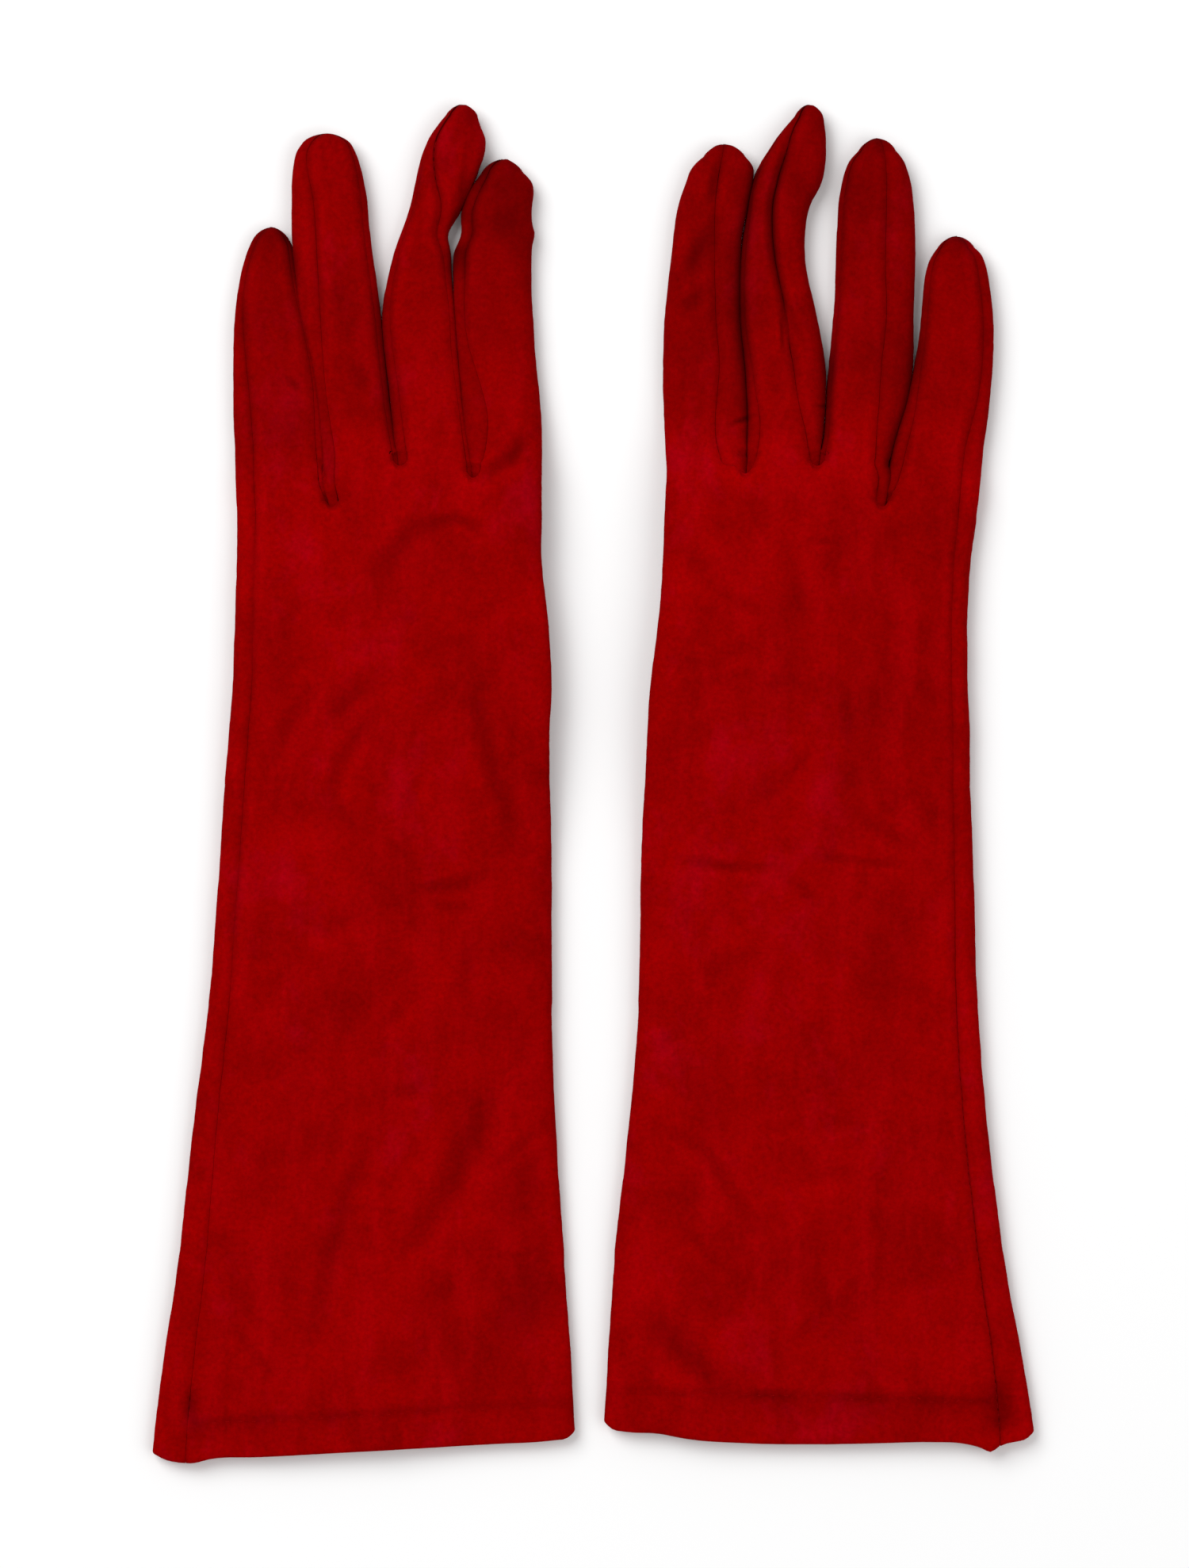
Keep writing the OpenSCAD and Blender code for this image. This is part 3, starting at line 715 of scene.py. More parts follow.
    def crease_shade(self, grid):
        """Painted shade in the creases and the hem's groove; painted highlight on the ridges beside the
        creases and at the ends of the slits; and patches, partly darker nap and partly painted shade,
        lighter as painted highlight where their amount is below 0.
        """
        x, y = grid[..., 0], grid[..., 1]
        in_groove, on_ridge = np.zeros(x.shape), np.zeros(x.shape)
        for path, width, depth in self.creases:
            groove, ridge = crease_depth(path, width, x, y)
            in_groove = np.maximum(in_groove, min(1, depth) * groove)
            on_ridge = np.maximum(on_ridge, min(1, depth) * ridge)
        # painted shade in the creases, painted highlight on the ridges beside them
        dark = GROOVE_DARK * in_groove - RIDGE_LIGHT * on_ridge
        # patches: partly darker nap, partly painted shade; painted highlight where the amount is below 0
        for (sx, sy), size, amount in self.spec["smudges"]:
            away = np.hypot(x - sx * self.flip, (y - sy) / 1.6) / size
            dark = dark + amount * bell(away, 1) * (0.7 + 0.3 * noise(x / 4 + 9, y / 7 + 5, 71))
        # painted shade along the hem's groove
        uneven = self.on_back(x, y, 2) * (0.65 + 0.5 * noise(x / 11 + 40, y / 9 + 40, 41))
        below = self.hem_line(x) - y
        dark = dark + uneven * (0.3 * bell(below, HEM_GROOVE) + 0.2 * bell(below - 1.5, 2.6))
        # painted highlight at the ends of the slits
        for cx, cy in self.crotch:
            dark = dark - 0.14 * bell(np.hypot(x - cx, y - cy), 3)
        return np.where(grid[..., 2] > LOW_Z, dark, 0)

    def hem_rows(self, grid, normals):
        """The turned-in hem, then its fold, up to the first row of the grid."""
        rows = []
        inside = FOLD * 2
        spacing = grid[1] - grid[0]
        count = int(HEM_TURN / np.median(spacing[:, 1]))
        for k in range(count, -1, -1):
            rows.append(grid[k] - normals[k] * inside)
        forward = -spacing / np.linalg.norm(spacing, axis=1, keepdims=True)
        for degrees in (30, 60, 90, 120, 150):
            a = math.radians(degrees)
            rows.append(grid[0] - normals[0] * FOLD * (1 + math.cos(a)) + forward * FOLD * math.sin(a))
        return np.array(rows)

    # ---- fingers

    def finger_loop(self, f, y0):
        """The cross-section whose middle is at y0, and each point's share of the half width."""
        (_, ay), (_, by) = self.base[f]
        e = self.edges[f]
        d = y0 - (ay + by) / 2
        b = float(ease(0, 13, d))
        power = lerp(SECTION_POWER, FINGER_POWER, b)
        theta = np.linspace(0, 2 * np.pi, LOOP_STEPS, endpoint=False)
        u, t = superellipse(theta, power)
        y = y0 + (by - ay) / 2 * u * (1 - float(ease(0, 16, d)))
        left, right = e.left(y) - self.bulge(f, "left", y), e.right(y) + self.bulge(f, "right", y)
        x = (left + right) / 2 + (right - left) / 2 * u
        flush = np.where(u < 0, self.flush(f, "left", y), self.flush(f, "right", y))
        t = t ** (1 - 0.75 * flush)
        w = float(e.half(min(y0, self.tip[f] - TIP_ROUND)))
        fullness = math.sqrt(max(0.0, 1 - (1 - min(1, w / self.widest[f])) ** 2))
        hand_u = self.share_of(x, np.minimum(y, HAND_END))
        lift = self.lift(hand_u, y)
        thick = FINGER_TOP * fullness * self.spec["plump"].get(f, 1)
        edge = lerp(self.edge_z(hand_u, y), lift + thick * 0.38, b)
        high = lerp(self.hand_top(hand_u, y), BACK_LIFT * lift + thick, b)
        low = lerp(self.hand_under(hand_u, y), lift, b)
        if f in ("little", "index"):
            outside = u < 0 if f == "little" else u > 0
            t = np.where(outside, lerp(1, t, b), t)
        deep = self.notch_depth(hand_u, y) * (1 - float(ease(0, 3.5, d))) * 0.5
        rounding = lerp(t, 1, 1 - b) * (1 - deep)
        up = edge + (high - edge) * rounding + self.relief(x, y) * t
        down = edge - (edge - low) * rounding
        z = np.where(np.sin(theta) >= 0, up, down)
        return Loop(np.stack([x, y, z], -1)), u

    def finger_loops(self, f):
        (_, ay), (_, by) = self.base[f]
        start, tip = (ay + by) / 2, self.tip[f]
        e = self.edges[f]
        body_end = tip - TIP_ROUND
        rise = TIP_ROUND + self.spec["longer"].get(f, 0)
        self.widest[f] = max(float(e.half(y)) for y in np.linspace(start + 8, tip, 40))
        n = int((body_end - start) / FINGER_GRID)
        ys = list(start + (body_end - start) * closer_to_end(np.linspace(0, 1, n + 1)))
        loops, shares = map(list, zip(*(self.finger_loop(f, y) for y in ys)))
        last = loops[-1].points[:-1]
        centre = last.mean(0)
        narrowing = float(e.half(body_end - 1) - e.half(body_end))
        slope = min(0.3, max(0.0, narrowing) * rise / float(e.half(body_end)))
        for a in np.radians(TIP_ANGLES):
            cap = centre + (last - centre) * (math.cos(a) * (1 - slope * math.sin(a)), 0, math.cos(a))
            cap[:, 1] = last[:, 1] + rise * math.sin(a)
            loops.append(Loop(cap))
            shares.append(shares[-1])
            ys.append(body_end + rise * math.sin(a))
        return loops, shares, (np.array(ys) - start) / (ys[-1] - start)

    def contact_shade(self, f, grid):
        """Painted shade where a finger lies against its neighbour."""
        x, y = grid[..., 0], grid[..., 1]
        dark = np.zeros(x.shape)
        i = FINGERS.index(f)
        for k, sign, side in ((i - 1, -1, "left"), (i + 1, 1, "right")):
            if not 0 <= k < 4:
                continue
            beside, own = self.edges[FINGERS[k]], self.edges[f]
            edge = (own.left(y) if sign < 0 else own.right(y)) + sign * self.bulge(f, side, y)
            other = "right" if sign < 0 else "left"
            gap = (beside.left(y) if sign > 0 else beside.right(y)) - edge
            gap = sign * gap - self.bulge(FINGERS[k], other, y)
            end = self.tip[FINGERS[k]]
            close = (1 - ease(0.3, 3, gap)) * (1 - ease(end - 8, end, y)) * (1 - self.flush(f, side, y))
            inward = (x - edge) * -sign
            dark = dark + close * (0.3 * bell(inward, 1.3) + 0.14 * bell(inward, 3.2))
        return dark

    def bulge(self, f, side, y):
        """Small bumps and dents of a finger's outline, in mm outwards."""
        out = np.zeros(np.shape(y))
        for place, reach, amount in self.spec["bumps"].get(f"{f} {side}", []):
            out = out + amount * bell(y - place, reach)
        return out * ease(2, 12, y - self.base[f][0 if side == "left" else 1][1])

    def flush(self, f, side, y):
        """1 where a finger's side is pressed flat against its neighbour, 0 where it is round."""
        pairs = self.spec["flush"].get(f"{f} {side}")
        if not pairs:
            return np.zeros(np.shape(y))
        return np.interp(y, *np.array(pairs, float).T)

    def seam_lengths(self, loops, shares, v, side, f):
        """Where the seam on one side of the back lies on each loop."""
        curve = [pair for pair in self.spec["seams"][f][side] if pair[0] > 0]
        i = FINGERS.index(f)
        base_y = self.base[f][0][1]
        (lx, _), (rx, _) = self.base[f]
        half = (rx - lx) / 2
        if side == "outer" and i > 0:
            first = -1 + NOTCH[i - 1][1] / half
        elif side == "inner" and i < 3:
            first = 1 - NOTCH[i][0] / half
        else:
            first = self.seam_u(base_y)
            first = self.outline.middle(base_y) + self.outline.half(base_y) * first
            first = (first - (lx + rx) / 2) / half
        wanted = table([(0, float(first))] + curve, v)
        top = LOOP_STEPS // 2 + 1
        lengths = [
            loop.place(np.interp(w, u[:top], np.arange(top)))
            for loop, u, w in zip(loops, shares, wanted)]
        under = LOOP_STEPS - np.interp(float(first), shares[0][:top], np.arange(top))
        return np.array(lengths), float(loops[0].place(under)), loops[0].length

    @staticmethod
    def strip_width(v, to_side):
        """A strip narrows towards the fingertip, but always reaches round the finger's side."""
        narrowing = STRIP_WIDE * (1 - ease(0.72, 0.97, v))
        return np.maximum(narrowing, to_side + 1.2 * (1 - ease(0.85, 0.97, v)))

    def build_finger(self, f):
        loops, shares, v = self.finger_loops(f)
        total = np.array([loop.length for loop in loops])
        reach = v * (self.tip[f] - self.base[f][0][1])
        settle = ease(0, 8, reach)
        left, left_under, whole = self.seam_lengths(loops, shares, v, "outer", f)
        cuts = {}
        if f != "little":
            base_wide = left[0] + whole - left_under
            outer_wide = lerp(base_wide, self.strip_width(v, left), settle)
        if f != "index":
            right, right_under, whole = self.seam_lengths(loops, shares, v, "inner", f)
            to_side = np.array([loop.place(LOOP_STEPS / 2) for loop in loops]) - right
            inner_wide = lerp(right_under - right[0], self.strip_width(v, to_side), settle)
        if f == "little":
            cuts["back"] = (left, right)
            cuts["strip"] = (right, right + inner_wide)
            cuts["front"] = (right + inner_wide, left + total)
        elif f == "index":
            cuts["wrap"] = (left, left - outer_wide + total)
            cuts["strip"] = (left - outer_wide, left)
        else:
            cuts["back"] = (left, right)
            cuts["inner_strip"] = (right, right + inner_wide)
            cuts["front"] = (right + inner_wide, left - outer_wide + total)
            cuts["outer_strip"] = (left - outer_wide, left)
        panels_first = sorted(cuts, key=lambda part: "strip" in part)
        return {part: self.build_panel(f, part, loops, v, reach, *cuts[part]) for part in panels_first}

    def strip_corners(self, f, part):
        """How far the panels' corners beside a strip were moved to meet the hand."""
        if f == "index":
            return self.corner[f, "wrap"][1], self.corner[f, "wrap"][0]
        if part == "outer_strip":
            return self.corner[f, "front"][1], self.corner[f, "back"][0]
        return self.corner[f, "back"][1], self.corner[f, "front"][0]

    def depth(self, f, seam, part, v):
        """How deep a seam of the back lies, against the others."""
        folds = self.spec["deep"].get(f"{f} {seam}") if part in ("back", "wrap") else None
        return table(folds, v) if folds else np.full(len(v), SOFT_SEAM)

    def build_panel(self, f, part, loops, v, reach, a, b):
        """One piece of a finger, from length a to length b on each loop."""
        if "strip" in part:
            grid, shade, away = self.strip_grid(f, part, loops, v, reach, a, b)
        else:
            grid, shade, away = self.panel_grid(f, part, loops, v, reach, a, b)
        turned_away = np.clip(1 - grid_normals(grid)[..., 2], 0, 1)
        # painted shade of creases, patches and the contact with neighbouring fingers
        shade = shade + self.crease_shade(grid) + self.contact_shade(f, grid)
        shade = shade + ((0.07 + self.spec["tone"][f]) * ease(3, 40, away))[:, None]
        # painted shade on suede that faces sideways
        shade = shade + ease(3, 20, away)[:, None] * TURNED_DARK * turned_away
        # painted shade darkening towards the fingertip
        shade = shade + 0.2 * np.exp((grid[..., 1] - self.tip[f]) / 3.5)
        grid, shade = turn_edges(grid, shade)
        name = self.node(f if part == "wrap" else f"{f}_{part}")
        return shell_mesh(name, grid, grid_normals(grid), self.flip, shade=shade)

    def strip_grid(self, f, part, loops, v, reach, a, b):
        """A strip starts under the end of the slit and lies a little deeper than its neighbours."""
        rows = int(np.argmax(np.append(b - a < 0.4, True)))
        widest = (b - a)[: len(v) // 2].max()
        parts = np.linspace(0, 1, max(4, int(widest / FINGER_GRID)) + 1)
        v, away = v[:rows], reach[:rows]
        grid = strip_of(loops[:rows], a[:rows], b[:rows], parts)
        sunk = (0.3 * (1 - ease(0, 22, away)) + 0.1) * (1 - ease(0.8, 0.96, v))
        grid[..., 2] -= sunk[:, None] * np.clip(grid_normals(grid)[..., 2], 0, 1)
        grid = grid - (1 - ease(0, 2, away))[:, None, None] * np.array([0, STRIP_TUCK, 0])
        corner = self.strip_corners(f, part)
        shift = lerp(corner[0], corner[1], parts[:, None])
        grid = grid + shift[None] * (1 - ease(0, MEET, away))[:, None, None]
        seam = "outer" if "outer" in part or f == "index" else "inner"
        deep = self.depth(f, seam, "back", v)
        under = np.full(rows, SOFT_SEAM)
        grid, shade = sink_edges(grid, *((under, deep) if seam == "outer" else (deep, under)))
        # painted shade over the strip, which lies recessed between its panels
        recess_shade = 0.05 + self.spec["strip_dark"].get(f"{f} {seam}", 0)
        shade = shade + (recess_shade * ease(1, 9, away) * (1 - ease(22, 42, away)))[:, None]
        return grid, shade, away

    def panel_grid(self, f, part, loops, v, reach, a, b):
        """A back, front or wrap carries on the columns of the hand that it grows out of."""
        first, last = self.spans[f if part == "wrap" else f"{f}_{part}"]
        base = self.trank_grid[-1, first:last + 1]
        parts = np.append(0, np.cumsum(np.linalg.norm(np.diff(base, axis=0), axis=1)))
        grid = strip_of(loops, a, b, parts / parts[-1])
        gap = base - grid[0]
        self.corner[f, part] = (gap[0], gap[-1])
        meet = (1 - ease(0, MEET, reach))[:, None, None]
        grid = grid + gap[None] * meet
        seams = {"front": ("inner", "outer"), "wrap": ("outer", "outer")}.get(part, ("outer", "inner"))
        amounts = [ease(0, 3, reach) * self.depth(f, seam, part, v) for seam in seams]
        if f == "little":
            # its outer seam is the side seam, which carries on from the hand
            amounts[seams.index("outer")] = np.ones(len(v))
        sunk, shade = sink_edges(grid, *amounts)
        # the hand's front row has already sunk to the side seam
        grid = sunk - (sunk[0] - grid[0])[None] * meet
        normals = grid_normals(grid)
        sewn = v < 0.93
        for end in (0, -1):
            if not (f == "little" and part == "front" and end == -1):
                self.sewn_lines[f].append((grid[:, end] - normals[:, end] * THREAD_DEEP)[sewn])
        return grid, shade, reach

    # ---- thumb

    def thumb_loops(self):
        """The thumb lies under the palm: a flattened tube that leans across it."""
        rows = node_points(self.node("thumb_lower"), self.flip)
        root = joint_place(self.node("thumb_swing"), self.flip)[:2]
        lean = math.radians(THUMB_LEAN)
        axis = np.array([-math.sin(lean), math.cos(lean)])
        across = np.array([math.cos(lean), math.sin(lean)])
        along, off = (rows[:, :2] - root) @ axis, (rows[:, :2] - root) @ across
        places = np.unique(np.round(along, 1))
        widths = np.array([abs(off[abs(along - s) < 0.06]).max() for s in places])
        knots = np.column_stack([places, widths])[widths > 0.5]
        knots = knots[np.append(True, np.diff(knots[:, 0]) > 0.3)]
        first, last = knots[0, 0], knots[-1, 0]
        theta = np.linspace(0, 2 * np.pi, LOOP_STEPS, endpoint=False)
        u, t = superellipse(theta, FINGER_POWER)
        loops = []
        n = int((last - first) / FINGER_GRID)
        for s in first + (last - first) * closer_to_end(np.linspace(0, 1, n + 1)):
            w = float(smooth_curve(knots[:, 0], knots[:, 1], s))
            top = THUMB_TOP * math.sqrt(max(0.0, 1 - (1 - min(1, w / knots[:, 1].max())) ** 2))
            edge = top * 0.4
            z = np.where(np.sin(theta) >= 0, edge + (top - edge) * t, edge - edge * t)
            loops.append(np.column_stack([root + axis * s + np.outer(u * w, across), z]))
        bottom, tip = self.thumb_cap(loops[0], -axis), self.thumb_cap(loops[-1], axis)
        return [Loop(points) for points in bottom[::-1] + loops + tip]

    @staticmethod
    def thumb_cap(last, way):
        """Loops that close one end of the thumb."""
        caps = []
        for a in np.radians((22, 45, 67, 86)):
            cap = last.mean(0) + (last - last.mean(0)) * math.cos(a)
            cap[:, :2] += way * THUMB_CAP * math.sin(a)
            caps.append(cap)
        return caps

    def build_thumb(self):
        loops = self.thumb_loops()
        total = np.array([loop.length for loop in loops])
        parts = np.linspace(0, 1, int(total.max() / 2 / FINGER_GRID) + 1)
        for part, a, b in (("thumb_upper", 0 * total, total / 2), ("thumb_lower", total / 2, total)):
            # the seams get painted shade, with painted highlight beside them
            grid, shade = sink_edges(strip_of(loops, a, b, parts), 1, 1)
            grid, shade = turn_edges(grid, shade)
            piece = shell_mesh(self.node(part + "_suede"), grid, grid_normals(grid), self.flip, shade=shade)
            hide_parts(self.node(part))
            piece.data.materials.append(suede)
            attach(piece, self.node("thumb"))

    # ---- all of it

    def build_hem_stitching(self):
        """A row of stitches across the back of the hem and one across the palm."""
        lines = []
        rows = self.trank_grid
        for top in (True, False):
            points = []
            for column in range(rows.shape[1]):
                line = rows[:, column]
                near = int(np.argmin(abs(line[:, 1] - self.hem_line(line[:, 0]))))
                level = line[near, 2] > self.edge_z(0, -160) if top else line[near, 2] < 1.0
                if level and abs(self.share_of(line[near, 0], line[near, 1])) < 0.8:
                    points.append(line[near] + (0, 0, -0.1 if top else 0.1))
            lines.append(np.array(points))
        return stitch_mesh(
            self.node("hem_stitching_thread"), lines, self.flip, long=1.5, step=3.4, thick=0.28)

    def build_thumb_gusset(self):
        """The short collar of suede that joins the thumb to the palm above it."""
        x, y = joint_place(self.node("thumb_swing"), self.flip)[:2]
        low, high = THUMB_TOP - 0.9, float(self.hand_under(self.share_of(x, y), y)) + 0.3
        turn = np.linspace(0, 2 * np.pi, 73)
        levels = np.linspace(0, 1, 9)
        radius = GUSSET_RADIUS - 0.8 * np.sin(levels * np.pi)
        grid = np.array([
            np.stack([x - r * np.cos(turn), y + r * np.sin(turn), 0 * turn + lerp(low, high, k)], -1)
            for r, k in zip(radius, levels)])
        out = grid - (x, y, 0)
        out[..., 2] = 0
        out = out / np.linalg.norm(out, axis=2, keepdims=True)
        piece = shell_mesh(self.node("thumb_gusset"), grid[:, ::-1], out[:, ::-1], self.flip)
        piece.data.materials.append(suede)
        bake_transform(piece)

    def build(self):
        self.widest = {}
        self.corner = {}
        self.gather_creases()
        self.sewn_lines = {f: [] for f in FINGERS}
        trank = self.build_trank()
        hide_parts(*(self.node(n) for n in (
            "gauntlet_back", "gauntlet_palm", "hem_back", "hem_palm", "hand_back", "hand_palm")))
        self.bend_at_wrist(trank, suede, "suede")
        for f in FINGERS:
            for part, piece in self.build_finger(f).items():
                cad_parts = ("back", "front") if part == "wrap" else (part,)
                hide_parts(*(self.node(f"{f}_{name}") for name in cad_parts))
                self.bend_at_knuckle(piece, f, suede, "suede")
            seams = stitch_mesh(self.node(f"{f}_thread"), self.sewn_lines[f], self.flip)
            self.bend_at_knuckle(seams, f, thread, "thread")
        line = self.side_line - (0, 0, THREAD_DEEP)
        side = stitch_mesh(self.node("side_seam_thread"), [line], self.flip)
        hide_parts(self.node("gauntlet_seam"), self.node("hand_seam"))
        self.bend_at_wrist(side, thread, "thread")
        hem = self.build_hem_stitching()
        hem.data.materials.append(thread)
        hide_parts(self.node("hem_stitching"))
        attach(hem, self.node("gauntlet"))
        self.build_thumb()
        self.build_thumb_gusset()

    def bend_at_wrist(self, piece, material, slot):
        self.bend(piece, "gauntlet", "hand", self.wrist_y, WRIST_BEND, material, slot)

    def bend_at_knuckle(self, piece, f, material, slot):
        self.bend(piece, "hand", f, self.knuckle[f], KNUCKLE_BEND, material, slot)

    def bend(self, piece, a, b, y, stretch, material, slot):
        """Gives the piece its material and bakes its place into its mesh."""
        piece.data.materials.append(material)
        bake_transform(piece)


# ---------------------------------------------------------------- suede

def new_material(name, roughness, specular):
    """A material, its node tree and its shader."""
    material = bpy.data.materials.new(name)
    material.use_nodes = True
    shader = material.node_tree.nodes["Principled BSDF"]
    shader.inputs["Roughness"].default_value = roughness
    shader.inputs["Specular IOR Level"].default_value = specular
    return material, material.node_tree, shader


def attribute(tree, name):
    node = tree.nodes.new("ShaderNodeAttribute")
    node.attribute_name = name
    return node


def cloud(tree, rest, scale, detail, rough, stretch=(1, 1, 1)):
    """Noise that stays with the suede when it bends."""
    place = tree.nodes.new("ShaderNodeMapping")
    place.inputs["Scale"].default_value = stretch
    tree.links.new(rest.outputs["Vector"], place.inputs["Vector"])
    texture = tree.nodes.new("ShaderNodeTexNoise")
    texture.inputs["Scale"].default_value = scale
    texture.inputs["Detail"].default_value = detail
    texture.inputs["Roughness"].default_value = rough
    tree.links.new(place.outputs["Vector"], texture.inputs["Vector"])
    return texture.outputs["Fac"]


def ramp(tree, source, low, high):
    node = tree.nodes.new("ShaderNodeMapRange")
    node.inputs["From Min"].default_value = low
    node.inputs["From Max"].default_value = high
    tree.links.new(source, node.inputs["Value"])
    return node.outputs["Result"]


def mix(tree, fac, a, b, way="MIX"):
    """A mix of two colours, each a tuple or another node's output."""
    node = tree.nodes.new("ShaderNodeMix")
    node.data_type = "RGBA"
    node.blend_type = way
    for socket, value in ((node.inputs[6], a), (node.inputs[7], b)):
        if isinstance(value, tuple):
            socket.default_value = (*value, 1)
        else:
            tree.links.new(value, socket)
    if fac is None:
        node.inputs[0].default_value = 1
    else:
        tree.links.new(fac, node.inputs[0])
    return node.outputs[2]


def suede_material():
    """Red nap in broad and narrow clouds, with painted shade in the grooves and painted highlight on the
    ridges.
    """
    material, tree, shader = new_material("red_suede", 0.95, 0.01)
    shader.inputs["Sheen Weight"].default_value = 0.1
    shader.inputs["Sheen Roughness"].default_value = 0.5
    shader.inputs["Sheen Tint"].default_value = (1.0, 0.01, 0.02, 1)
    rest, shade = attribute(tree, "rest"), attribute(tree, "shade").outputs["Fac"]
    broad = cloud(tree, rest, 60, 6, 0.66)
    streaks = cloud(tree, rest, 150, 4, 0.6, (1, 0.3, 1))
    crimson = cloud(tree, rest, 55, 6, 0.7, (1, 0.7, 1))
    tone = mix(tree, ramp(tree, broad, 0.3, 0.7), (0.2, 0.0, 0.0), (0.31, 0.0, 0.0))
    tone = mix(tree, ramp(tree, streaks, 0.45, 0.8), tone, (0.33, 0.0, 0.001))
    tone = mix(tree, ramp(tree, crimson, 0.55, 0.9), tone, (0.38, 0.0, 0.008))
    grain = ramp(tree, cloud(tree, rest, 900, 3, 0.7), 0.25, 0.75)
    grain = mix(tree, grain, (0.75, 0.75, 0.75), (1.15, 1.15, 1.15))
    # painted highlight where the shade attribute is below 0
    ridge = mix(tree, ramp(tree, shade, -0.3, 0), (1.3, 1.3, 1.3), (1, 1, 1))
    tone = mix(tree, None, mix(tree, None, tone, grain, "MULTIPLY"), ridge, "MULTIPLY")
    # painted shade: the shade attribute mixes the colour towards near black
    tree.links.new(mix(tree, shade, tone, (0.035, 0.0, 0.0)), shader.inputs["Base Color"])
    bump = tree.nodes.new("ShaderNodeBump")
    bump.inputs["Strength"].default_value = 0.5
    bump.inputs["Distance"].default_value = 0.0002
    tree.links.new(cloud(tree, rest, 1400, 4, 0.75), bump.inputs["Height"])
    tree.links.new(bump.outputs["Normal"], shader.inputs["Normal"])
    return material


def thread_material():
    """Dull red sewing thread, darker and lighter along its twist."""
    material, tree, shader = new_material("red_thread", 0.8, 0.05)
    wave = tree.nodes.new("ShaderNodeTexWave")
    wave.bands_direction = "DIAGONAL"
    wave.inputs["Scale"].default_value = 900
    wave.inputs["Distortion"].default_value = 2
    tree.links.new(attribute(tree, "rest").outputs["Vector"], wave.inputs["Vector"])
    twist = mix(tree, wave.outputs["Fac"], (0.2, 0.0, 0.0), (0.3, 0.0, 0.001))
    tree.links.new(twist, shader.inputs["Base Color"])
    return material


suede = suede_material()
thread = thread_material()
